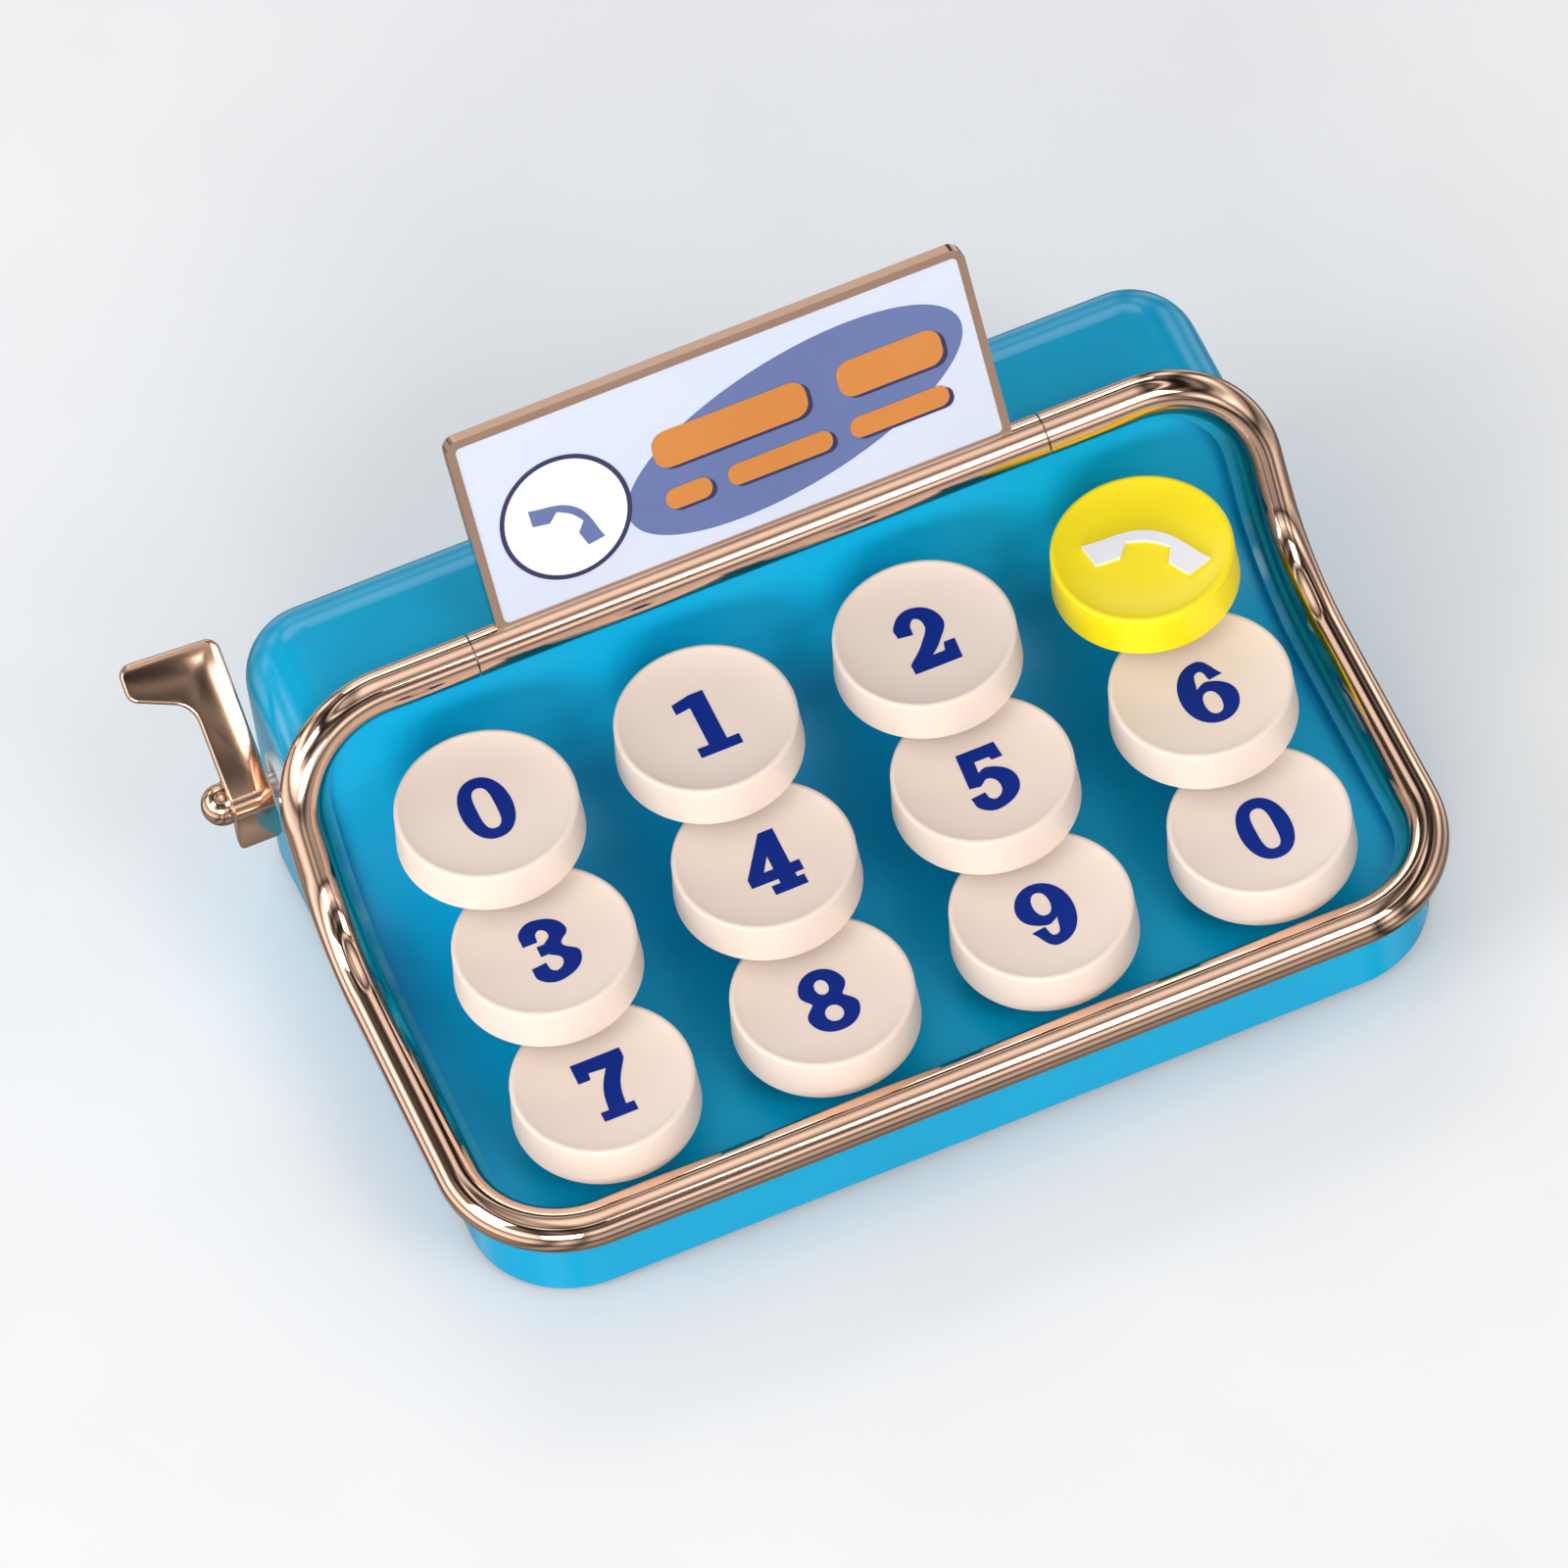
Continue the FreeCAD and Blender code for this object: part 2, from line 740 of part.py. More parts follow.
def keypad_mat():
    """One silicone sheet with a hollow dome under each stem."""
    margin = "dome_radius + mat_margin"
    sheet_x = f"column_pitch * 1.5 + {margin}"
    front = f"bar_y + front_row - ({margin})"
    back = f"bar_y + front_row + 2 * row_pitch + {margin}"
    corners = rectangle(f"-({sheet_x})", sheet_x, front, back)
    mat = rounded_plate("mat_sheet", corners, "mat_z", "mat_thickness", "dome_radius / 2")
    domes, hollows = [], []
    for row, names in enumerate(KEY_NAMES):
        for column, name in enumerate(names):
            x, y, _ = key_spot(row, column)
            base = "mat_z + mat_thickness"
            for shapes, trim, z, height in (
                (domes, "0", base, "dome_height"),
                (hollows, "dome_skin", "mat_z", "mat_thickness + dome_height - 2 * dome_skin"),
            ):
                cone = doc.addObject("Part::Cone", name + "_dome")
                wide, narrow = f"dome_radius - {trim}", f"dome_radius * 0.6 - {trim}"
                bind(cone, Radius1=wide, Radius2=narrow, Height=height)
                shapes.append(place(cone, (x, y, z)))
    return cut("keypad_mat", fuse("mat_with_domes", mat, *domes), *hollows)


# Electronics ------------------------------------------------------------------------------------


def circuit_board():
    blank = box(
        "board_blank",
        ("board_length", "board_depth", "board_thickness"),
        ("-board_length / 2", "board_y", "board_z"),
    )
    holes = rods("board_hole", "screw_radius + seam", "board_thickness", board_spots("board_z"))
    return cut("circuit_board", blank, *holes)


def sound_chip():
    """The sound chip, on the board's rear edge."""
    return box("sound_chip", ("8", "4", "1.1"), ("-4", "board_y + board_depth - 5", "mat_z"))


def speaker():
    """Basket and magnet, against the sound holes in the back wall."""
    spot = ("speaker_offset", "inner_y", "speaker_level")
    towards_keys = FreeCAD.Rotation(Vector(1, 0, 0), 90)
    basket = rod("speaker_basket", "speaker_radius", "3", spot, towards_keys)
    magnet = rod(
        "speaker_magnet",
        "speaker_radius * 0.55",
        "2.6",
        (spot[0], "inner_y - 3", spot[2]),
        towards_keys,
    )
    cone_room = rod("cone_room", "speaker_radius - 1.2", "0.8", spot, towards_keys)
    return cut("speaker", fuse("speaker_whole", basket, magnet), cone_room)


def battery_holder():
    """An open-backed box for two cells, one over the other."""
    outer = box(
        "holder_outer",
        ("holder_length", "inner_y - seam - (holder_front_y)", "holder_top - (base_top)"),
        ("holder_left", "holder_front_y", "base_top"),
    )
    room = box(
        "holder_room",
        (
            "holder_length - 2 * holder_wall",
            "inner_y - (holder_front_y)",
            "holder_top - (base_top) - 2 * holder_wall",
        ),
        (
            "holder_left + holder_wall",
            "holder_front_y + holder_wall",
            "base_top + holder_wall",
        ),
    )
    boss = box(
        "door_screw_boss",
        ("holder_left - door_screw_x + post_radius + 0.5", "8", "door_level - base_top + 3"),
        ("door_screw_x - post_radius", "inner_y - 8 - seam", "base_top"),
    )
    pilot = rod(
        "door_screw_pilot",
        "screw_radius",
        "7",
        ("door_screw_x", "inner_y - 7", "door_level"),
        ALONG_Y,
    )
    return cut("battery_holder", fuse("holder_whole", cut("holder_box", outer, room), boss), pilot)


def battery_cell(name, z, nub_side):
    """A cell lying along X, with its nub at one end."""
    start = "holder_middle - cell_length / 2"
    barrel_start = start if nub_side > 0 else start + " + 1"
    barrel_spot = (barrel_start, "cell_y", z)
    barrel = rod(name + "_barrel", "cell_radius", "cell_length - 1", barrel_spot, ALONG_X)
    nub_start = "holder_middle + cell_length / 2 - 1" if nub_side > 0 else start
    nub = rod(name + "_nub", "cell_radius * 0.36", "1", (nub_start, "cell_y", z), ALONG_X)
    return fuse(name, barrel, nub)


def battery_contacts():
    """A plate at each end of the cells, with a pressed boss on each cell."""
    plates = []
    for side in (-1, 1):
        plate_x = f"holder_middle + {side} * (cell_length / 2 + contact_gap - 0.2) - 0.2"
        plate = box(
            "contact_plate",
            ("0.4", "1.4 * cell_radius", "cell_high_z - (cell_low_z) + cell_radius"),
            (plate_x, "cell_y - 0.7 * cell_radius", "cell_low_z - cell_radius / 2"),
        )
        start = f"holder_middle + {side} * (cell_length / 2 + (contact_gap - 0.4) / 2)"
        start += " - (contact_gap - 0.4) / 2"
        coils = [
            rod("contact_coil", "cell_radius * 0.34", "contact_gap - 0.4", (start, "cell_y", z), ALONG_X)
            for z in ("cell_low_z", "cell_high_z")
        ]
        plates.append(fuse("contact", plate, *coils))
    return group("battery_contacts", *plates)


def battery_door():
    """The door in the back wall: a plate in the rebate and a plug in the window."""
    face = door_plate("door_face", "0", "door_rebate", "half_depth - door_rebate")
    plug = door_plate("door_plug", "-door_flange - seam", "wall - door_rebate", "inner_y")
    hole = rod(
        "door_hole",
        "screw_radius + seam",
        "wall",
        ("door_screw_x", "inner_y", "door_level"),
        ALONG_Y,
    )
    sink = rod(
        "door_sink",
        "screw_head + seam",
        "screw_head_height",
        ("door_screw_x", "half_depth - screw_head_height", "door_level"),
        ALONG_Y,
    )
    grips = [
        box(
            "door_grip",
            ("0.8", "0.5", "door_height * 0.5"),
            (f"door_middle + {offset} - 0.4", "half_depth - 0.5", "door_level - door_height / 4"),
        )
        for offset in ("14", "16.5", "19")
    ]
    return cut("battery_door", fuse("door_whole", face, plug), hole, sink, *grips)


def door_screw():
    spot = ("door_screw_x", "inner_y - 5", "door_level")
    shaft = rod("door_screw_shaft", "screw_radius", "5 + wall - screw_head_height", spot, ALONG_Y)
    head_y = "half_depth - screw_head_height"
    head = rod(
        "door_screw_head",
        "screw_head",
        "screw_head_height - 0.1",
        ("door_screw_x", head_y, "door_level"),
        ALONG_Y,
    )
    slots = [
        box(
            "door_screw_slot",
            (size[0], "0.5", size[1]),
            (f"door_screw_x - {size[0]} / 2", "half_depth - 0.6", f"door_level - {size[1]} / 2"),
        )
        for size in (("2.4", "0.4"), ("0.4", "2.4"))
    ]
    return cut("door_screw", fuse("door_screw_whole", shaft, head), *slots)


# Sign -------------------------------------------------------------------------------------------


def sign_slab(label, half, low, high, z, thickness, radius):
    """A rounded slab that leans with the sign; its Y is measured up from the bar's axis."""
    slab = rounded_plate(label, rectangle(f"-({half})", half, low, high), z, thickness, radius)
    place(slab, ("0", "top_y", "top_z"), FreeCAD.Rotation(Vector(1, 0, 0), value("sign_lean")))
    bind(slab, Placement__Rotation__Angle="sign_lean")
    return slab


def sign_parts():
    """The bar, the holder with its rim, the card and the two pins that the sign turns on."""
    half = "sign_width / 2"
    back = "-sign_thickness / 2"
    holder_blank = sign_slab("holder_blank", half, "0.5", "sign_height", back, "sign_thickness", "1.4")
    card_face = "sign_thickness / 2 - card_thickness"
    window = ("sign_width / 2 - sign_rim", "tube_radius + 0.15", "sign_height - sign_rim")
    recess = sign_slab("card_recess", *window, card_face, "card_thickness + 1", "0.6")
    card = sign_slab("sign_card", *window, card_face, "card_thickness - 0.1", "0.6")
    holder = cut("sign_holder", holder_blank, recess)
    start = ("-sign_bar_length / 2", "top_y", "top_z")
    blank = rod("sign_bar_blank", "tube_radius", "sign_bar_length", start, ALONG_X)
    slot = sign_slab("holder_slot", half, "0.5", "sign_height", back, "sign_thickness", "1.4")
    starts = ("-sign_bar_length / 2 - sign_pin_reach", "sign_bar_length / 2 - sign_pin_inner")
    pins, bores = [], []
    for shapes, name in ((pins, "sign_pin"), (bores, "sign_pin_bore")):
        for x in starts:
            spot = (x, "top_y", "top_z")
            shapes.append(rod(name, "sign_pin_radius", "sign_pin_inner + sign_pin_reach", spot, ALONG_X))
    bar = cut("sign_bar", blank, slot, *bores)
    return [bar, holder, card, group("sign_pins", *pins)]


def trim_frame():
    """The bent tube, with studs that hold it in the housing and bores for the sign's pins."""
    ring = tube("trim_tube", "tube_radius")
    studs = rods("stud", "stud_radius", "deck_depth - 0.3", STUD_SPOTS)
    starts = ("-sign_end - sign_pin_reach - 0.3", "sign_end")
    bores = [
        rod(
            "pin_bore",
            "sign_pin_radius + fit_gap",
            "sign_pin_reach + 0.3",
            (x, "top_y", "top_z"),
            ALONG_X,
        )
        for x in starts
    ]
    return cut("trim_frame", fuse("tube_with_studs", ring, *studs), *bores)


# Lever ------------------------------------------------------------------------------------------


def lever_arm():
    """The flat arm and its tip, drawn on the lever's own leaning plane."""
    arm = make_body("lever_arm")
    inner, outer = "lever_side", "lever_side - lever_arm_width"
    corners = [
        (outer, "0"),
        (inner, "0"),
        (inner, "lever_reach"),
        (f"{inner} - lever_tip", "lever_reach + 0.6"),
        (f"{inner} - lever_tip", "lever_reach - 3.2"),
        (outer, "lever_reach - 5.8"),
    ]
    lift = "eye_radius - lever_thickness"
    pad(arm, outline(sketch_on(arm, "XY_Plane", lift), corners), "lever_thickness")
    reach = value("lever_reach")
    notch = value(corners[5][1])
    round_edges(arm, "1.3", lambda e: is_upright(e) and e.CenterOfMass.y > reach - 4)
    round_edges(arm, "3", lambda e: is_upright(e) and abs(e.CenterOfMass.y - notch) < 0.01)
    place(arm, ("0", "lever_y", "lever_z"), FreeCAD.Rotation(Vector(1, 0, 0), value("lever_angle")))
    bind(arm, Placement__Rotation__Angle="lever_angle")
    return arm


def lever_parts():
    """The lever plate with its eye and tail, the shaft, the ball nut and the cam inside."""
    outer = "lever_side - lever_arm_width"
    axis = ("lever_y", "lever_z")
    eye = rod("lever_eye", "eye_radius", "lever_arm_width", (outer, *axis), ALONG_X)
    tail = box(
        "lever_tail_plate",
        ("lever_arm_width", "lever_thickness", "lever_tail"),
        (outer, "lever_y - eye_radius", "lever_z - lever_tail"),
    )
    bore = rod("lever_bore", "shaft_radius", "lever_arm_width", (outer, *axis), ALONG_X)
    plate = cut("lever_plate", fuse("lever_whole", lever_arm(), eye, tail), bore)
    start = f"{outer} - nut_inset - 0.1"
    end = "bracket_x + bracket_thickness + 0.6"
    shaft = rod("lever_shaft", "shaft_radius", f"{end} - ({start})", (start, *axis), ALONG_X)
    nut = doc.addObject("Part::Sphere", "nut_ball")
    bind(nut, Radius="nut_radius", Angle2="asin(nut_inset / nut_radius)")
    place(nut, (f"{outer} - nut_inset", *axis), ALONG_X)
    nut_bore = rod("nut_bore", "shaft_radius", "nut_inset + 0.1 + 2", (start, *axis), ALONG_X)
    ball_nut = cut("ball_nut", nut, nut_bore)
    cam_x = "bracket_x - 5.5"
    collar = rod("cam_collar", "eye_radius + 0.2", "3", (cam_x, *axis), ALONG_X)
    finger = box("cam_finger", ("3", "1.6", "6.5"), (cam_x, "lever_y - 0.8", "lever_z - 6.5"))
    cam_bore = rod("cam_bore", "shaft_radius", "3", (cam_x, *axis), ALONG_X)
    cam = cut("lever_cam", fuse("cam_whole", collar, finger), cam_bore)
    return [plate, shaft, ball_nut, cam]


def lever_bush():
    """The flanged bearing in the side wall."""
    start = ("-half_width - bush_flange", "lever_y", "lever_z")
    length = "bush_end + half_width + bush_flange"
    sleeve = rod("bush_sleeve", "bush_radius", length, start, ALONG_X)
    flange = rod("bush_collar", "bush_radius + 0.8", "bush_flange", start, ALONG_X)
    bore = rod("bush_bore", "shaft_radius + fit_gap", length, start, ALONG_X)
    return cut("lever_bush", fuse("bush_whole", sleeve, flange), bore)


def lever_bracket():
    """The inner bearing: an upright plate on a foot, its front edge along the deck's slope."""
    depth = "deck_depth + deck_thickness + bracket_gap"
    top, back = "lever_z + eye_radius", "lever_y + 9"
    front = "board_y + board_depth + 0.5"
    low = f"({front} - kink_y - ({depth}) * sin(upper_slope)) / cos(upper_slope)"
    high = f"({top} - kink_z + ({depth}) * cos(upper_slope)) / sin(upper_slope)"
    corners = [
        (front, "base_top"),
        (back, "base_top"),
        (back, top),
        upper_point(depth, high),
        upper_point(depth, low),
    ]
    plate = make_body("bracket_plate")
    pad(plate, outline(sketch_on(plate, "YZ_Plane", "bracket_x"), corners), "bracket_thickness")
    foot = box("bracket_foot", ("7", f"{back} - ({front})", "1.6"), ("bracket_x", front, "base_top"))
    hole = rod(
        "bracket_hole",
        "shaft_radius + fit_gap",
        "bracket_thickness",
        ("bracket_x", "lever_y", "lever_z"),
        ALONG_X,
    )
    return cut("lever_bracket", fuse("bracket_whole", plate, foot), hole)


def lever_switch():
    """The small switch that the cam's finger reaches as the lever is pulled."""
    case = box("switch_case", ("5.4", "3", "5"), ("bracket_x - 5.4", "lever_y + 4.6", "lever_z - 8"))
    button_spot = ("bracket_x - 5", "lever_y + 4.1", "lever_z - 6.2")
    button = box("switch_button", ("2", "0.5", "1.4"), button_spot)
    return fuse("lever_switch", case, button)


def lever_spring():
    """The torsion spring round the shaft, between the bush and the cam."""
    radius = "shaft_radius + 0.5"
    start = "bush_end + spring_wire + 0.3"
    line = doc.addObject("Part::Helix", "spring_line")
    bind(line, Radius=radius, Pitch="spring_pitch", Height="spring_turns * spring_pitch")
    place(line, (start, "lever_y", "lever_z"), ALONG_X)
    wire = doc.addObject("Part::Circle", "spring_section")
    bind(wire, Radius="spring_wire")
    place(wire, (start, "lever_y", f"lever_z - ({radius})"), ALONG_Y)
    spring = doc.addObject("Part::Sweep", "lever_spring")
    spring.Sections = [wire]
    spring.Spine = line
    spring.Solid = True
    spring.Frenet = True
    return spring


# The whole phone --------------------------------------------------------------------------------


def make_nodes():
    nodes = [
        body_shell(),
        base_plate(),
        anti_slip_pad(),
        screws("base_screws", post_spots("base_screw_seat"), "base_top + post_pilot - base_screw_seat", False),
        deck_panel(),
        trim_frame(),
        circuit_board(),
        screws("board_screws", board_spots("mat_z"), "board_thickness + board_gap + 0.9", True),
        keypad_mat(),
        sound_chip(),
        speaker(),
        battery_holder(),
        battery_cell("battery_cell_lower", "cell_low_z", 1),
        battery_cell("battery_cell_upper", "cell_high_z", -1),
        battery_contacts(),
        battery_door(),
        door_screw(),
        lever_bush(),
        lever_bracket(),
        lever_switch(),
        lever_spring(),
    ]
    nodes += lever_parts() + sign_parts()
    for row, names in enumerate(KEY_NAMES):
        for column, name in enumerate(names):
            nodes += [key_cap(name, row, column), key_stem(name, row, column)]
    return nodes


def check(nodes):
    """Stops if any object failed or any sub-part is empty or broken."""
    for thing in doc.Objects:
        if "Invalid" in thing.State or "Error" in thing.State:
            raise ValueError(f"{thing.Label} failed: {thing.State}")
    for node in nodes:
        shape = node.Shape
        if shape.isNull() or not shape.isValid() or not shape.Solids:
            raise ValueError(f"{node.Label} has no valid solid")
        if node.TypeId != "Part::Compound" and len(shape.Solids) > 1:
            raise ValueError(f"{node.Label} came apart into {len(shape.Solids)} solids")


def write(nodes):
    os.makedirs("parts", exist_ok=True)
    for node in nodes:
        node.Shape.exportStep(f"parts/{node.Label}.step")


nodes = make_nodes()
doc.recompute()
check(nodes)
write(nodes)
print(len(nodes), "sub-parts written")
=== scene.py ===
"""The looks of a toy phone in the shape of a small typewriter.

Everything is in metres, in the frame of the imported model, and is placed from that model's own boxes.
Sizes that the boxes don't give are named below in millimetres, times MM.
"""

import json
import math

import bmesh
import bpy
from mathutils import Matrix, Vector

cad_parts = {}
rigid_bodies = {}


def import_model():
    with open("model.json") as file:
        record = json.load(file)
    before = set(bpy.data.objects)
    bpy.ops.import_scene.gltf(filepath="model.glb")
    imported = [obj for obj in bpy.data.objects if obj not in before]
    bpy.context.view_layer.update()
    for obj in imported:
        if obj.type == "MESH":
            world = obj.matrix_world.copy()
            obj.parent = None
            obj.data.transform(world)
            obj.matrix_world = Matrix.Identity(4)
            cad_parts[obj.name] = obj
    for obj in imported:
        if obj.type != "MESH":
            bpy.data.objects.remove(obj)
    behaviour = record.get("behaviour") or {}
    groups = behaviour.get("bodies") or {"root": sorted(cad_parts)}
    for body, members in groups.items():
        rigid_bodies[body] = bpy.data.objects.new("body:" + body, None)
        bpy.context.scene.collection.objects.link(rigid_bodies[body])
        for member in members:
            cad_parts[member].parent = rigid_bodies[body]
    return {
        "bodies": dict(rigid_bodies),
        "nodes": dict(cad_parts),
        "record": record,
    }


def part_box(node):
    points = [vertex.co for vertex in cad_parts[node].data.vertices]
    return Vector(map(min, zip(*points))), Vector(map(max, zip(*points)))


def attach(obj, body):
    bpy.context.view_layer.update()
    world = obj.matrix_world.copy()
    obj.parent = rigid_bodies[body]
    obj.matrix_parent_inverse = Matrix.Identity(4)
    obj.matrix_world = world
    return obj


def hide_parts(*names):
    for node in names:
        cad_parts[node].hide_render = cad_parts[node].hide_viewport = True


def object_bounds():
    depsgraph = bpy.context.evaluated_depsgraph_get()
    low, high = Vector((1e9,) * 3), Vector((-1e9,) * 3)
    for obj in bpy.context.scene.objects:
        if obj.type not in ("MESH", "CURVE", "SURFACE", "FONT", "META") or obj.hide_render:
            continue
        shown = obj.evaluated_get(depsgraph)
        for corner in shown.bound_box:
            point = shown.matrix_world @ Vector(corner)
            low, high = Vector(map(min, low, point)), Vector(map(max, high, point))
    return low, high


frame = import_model()
cad_low, cad_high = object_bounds()

MM = 0.001
KEYS = [name for name in frame["bodies"] if name.startswith("key_")]

# Camera: the direction that the phone is seen from, and how much of it the picture takes in.
AZIMUTH = math.radians(-15.2)
ELEVATION = math.radians(53.5)
ROLL = math.radians(9.0)
LENS_MM = 400.0
SENSOR_MM = 36.0
FRAME_SPAN = 157.6 * MM
AIM_FROM_MIDDLE = Vector((-3.3, -6.2, 1.6)) * MM


# Materials --------------------------------------------------------------------------------------

# The grain of moulded and of plated surfaces, in features per metre, and the depth of its relief.
PLASTIC_GRAIN, PLASTIC_RELIEF = 900.0, 0.02 * MM
METAL_GRAIN, METAL_RELIEF = 1400.0, 0.01 * MM
CLOUD_TO_GRAIN = 30  # how much larger the patches of colour are than the grain
TINT_FROM, TINT_TO = 0.3, 0.7  # the part of the cloud's range in which the colour changes


def srgb(red, green, blue):
    """A display colour, 0 to 255, as the linear colour that shaders use."""
    def linear(part):
        part /= 255
        return part / 12.92 if part <= 0.04045 else ((part + 0.055) / 1.055) ** 2.4
    return (linear(red), linear(green), linear(blue), 1.0)


def add(tree, kind, **inputs):
    """A node with some of its inputs set; an input's name has underscores for spaces."""
    node = tree.nodes.new(kind)
    for name, value in inputs.items():
        node.inputs[name.replace("_", " ")].default_value = value
    return node


def finish_material(name, dark, light, roughness, grain, bump, depth, **sockets):
    """A moulded or plated surface: two near colours, an uneven gloss and a fine grain.

    roughness is its lowest and highest value, grain the features per metre, bump the strength of
    the relief and depth its depth. sockets are inputs of the shader, with underscores for spaces.
    """
    material = bpy.data.materials.new(name)
    material.use_nodes = True
    tree = material.node_tree
    shader = tree.nodes["Principled BSDF"]
    for socket, value in sockets.items():
        shader.inputs[socket.replace("_", " ")].default_value = value
    place = tree.nodes.new("ShaderNodeTexCoord")
    cloud = add(tree, "ShaderNodeTexNoise", Scale=grain / CLOUD_TO_GRAIN, Detail=3.0, Roughness=0.55)
    fine = add(tree, "ShaderNodeTexNoise", Scale=grain, Detail=4.0, Roughness=0.6)
    for noise in (cloud, fine):
        tree.links.new(place.outputs["Object"], noise.inputs["Vector"])
    tint = tree.nodes.new("ShaderNodeValToRGB")
    low_stop, high_stop = tint.color_ramp.elements
    low_stop.position, low_stop.color = TINT_FROM, dark
    high_stop.position, high_stop.color = TINT_TO, light
    tree.links.new(cloud.outputs["Fac"], tint.inputs["Fac"])
    tree.links.new(tint.outputs["Color"], shader.inputs["Base Color"])
    gloss = add(tree, "ShaderNodeMapRange", To_Min=roughness[0], To_Max=roughness[1])
    tree.links.new(fine.outputs["Fac"], gloss.inputs["Value"])
    tree.links.new(gloss.outputs["Result"], shader.inputs["Roughness"])
    relief = add(tree, "ShaderNodeBump", Strength=bump, Distance=depth)
    tree.links.new(fine.outputs["Fac"], relief.inputs["Height"])
    tree.links.new(relief.outputs["Normal"], shader.inputs["Normal"])
    return material


def plastic(name, dark, light, roughness=(0.22, 0.30), bump=0.05, **sockets):
    return finish_material(name, dark, light, roughness, PLASTIC_GRAIN, bump, PLASTIC_RELIEF,
                           **sockets)


def metal(name, dark, light, roughness=(0.10, 0.16), bump=0.02, **sockets):
    return finish_material(name, dark, light, roughness, METAL_GRAIN, bump, METAL_RELIEF,
                           Metallic=1.0, **sockets)


def make_materials():
    return {
        # What the photograph shows.
        "housing": plastic("housing", srgb(0, 158, 202), srgb(0, 166, 210), (0.16, 0.22), 0.03,
                           Specular_IOR_Level=0.4),
        # The deck is a lighter copy of the housing's turquoise: painted light that lifts the deck out of
        # the shade of the keys.
        "deck": plastic("deck", srgb(0, 178, 226), srgb(0, 186, 234), (0.34, 0.42), 0.04,
                        Specular_IOR_Level=0.25),
        "gold": metal("rose_gold", srgb(226, 190, 168), srgb(236, 200, 178), (0.06, 0.10)),
        # The lever is a darker copy of the frame's rose gold: painted shade for the dark face of its
        # plate.
        "lever": metal("lever_gold", srgb(216, 178, 154), srgb(226, 188, 164), (0.10, 0.15)),
        "ivory": plastic("ivory", srgb(236, 217, 203), srgb(241, 224, 211), (0.36, 0.46),
                         Specular_IOR_Level=0.35),
        "yellow": plastic("yellow", srgb(250, 226, 0), srgb(255, 234, 0), (0.30, 0.38)),
        "ink": plastic("blue_ink", srgb(0, 34, 126), srgb(0, 42, 138), (0.5, 0.6), 0.03,
                       Specular_IOR_Level=0.15),
        "white": plastic("white_print", srgb(232, 234, 238), srgb(240, 242, 246), (0.3, 0.4), 0.03),
        "card": plastic("card_blue", srgb(204, 212, 230), srgb(211, 219, 236), (0.30, 0.36), 0.02),
        "slate": plastic("card_slate", srgb(92, 108, 160), srgb(102, 118, 170), (0.4, 0.5), 0.02),
        "orange": plastic("card_orange", srgb(202, 126, 52), srgb(212, 138, 64), (0.4, 0.5), 0.02),
        "navy": plastic("card_navy", srgb(40, 38, 84), srgb(50, 48, 96), (0.4, 0.5), 0.02),
        # The inside, the underside and the back.
        "steel": metal("zinc_steel", srgb(176, 176, 180), srgb(196, 196, 200), (0.22, 0.34), 0.08),
        "stem": plastic("stem_grey", srgb(150, 154, 158), srgb(160, 164, 168), (0.4, 0.5)),
        "base": plastic("base_teal", srgb(0, 112, 140), srgb(0, 122, 150), (0.45, 0.6), 0.25),
        "rubber": plastic("pad_rubber", srgb(34, 34, 36), srgb(44, 44, 46), (0.7, 0.85), 0.4),
        "silicone": plastic("silicone", srgb(206, 206, 200), srgb(216, 216, 210), (0.5, 0.6)),
        "board": plastic("board_green", srgb(14, 92, 48), srgb(20, 104, 58), (0.3, 0.4)),
        "black": plastic("black_epoxy", srgb(20, 20, 22), srgb(28, 28, 30), (0.4, 0.5)),
        "inner": plastic("inner_white", srgb(222, 222, 216), srgb(230, 230, 224), (0.45, 0.55)),
        "jacket": metal("cell_jacket", srgb(60, 66, 74), srgb(74, 80, 88), (0.3, 0.4)),
    }


MATERIALS = make_materials()

# The material of each record slot's nodes.
SLOT_MATERIALS = {
    "housing_turquoise": "housing",
    "deck_turquoise": "deck",
    "trim_rose_gold": "gold",
    "lever_rose_gold": "lever",
    "key_ivory": "ivory",
    "key_yellow": "yellow",
    "stem_grey": "stem",
    "base_teal": "base",
    "pad_rubber": "rubber",
    "board_green": "board",
    "silicone": "silicone",
    "chip_black": "black",
    "speaker_black": "black",
    "cell_jacket": "jacket",
    "inner_white": "inner",
    "steel": "steel",
    "card": "card",
}


def dress_nodes():
    """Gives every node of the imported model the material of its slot."""
    slots = {part["node"]: part["material_slot"] for part in frame["record"]["subparts"]}
    for name, node in frame["nodes"].items():
        node.data.materials.clear()
        node.data.materials.append(MATERIALS[SLOT_MATERIALS[slots[name]]])


# Pieces -----------------------------------------------------------------------------------------

WELD = 1e-7  # points nearer each other than this are one point


def piece(name, mesh, material, body, slot, *replaced):
    """A finished object that rides on a body and may stand for some nodes."""
    mesh.materials.clear()
    mesh.materials.append(MATERIALS[material])
    thing = bpy.data.objects.new(name, mesh)
    bpy.context.scene.collection.objects.link(thing)
    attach(thing, body)
    if replaced:
        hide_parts(*replaced)
    return thing


def to_mesh(name, mesh, smooth_below=35):
    """A bmesh as a mesh, smooth except across edges sharper than an angle in degrees."""
    bmesh.ops.recalc_face_normals(mesh, faces=mesh.faces)
    data = bpy.data.meshes.new(name)
    mesh.to_mesh(data)
    mesh.free()
    for face in data.polygons:
        face.use_smooth = True
    data.set_sharp_from_angle(angle=math.radians(smooth_below))
    return data


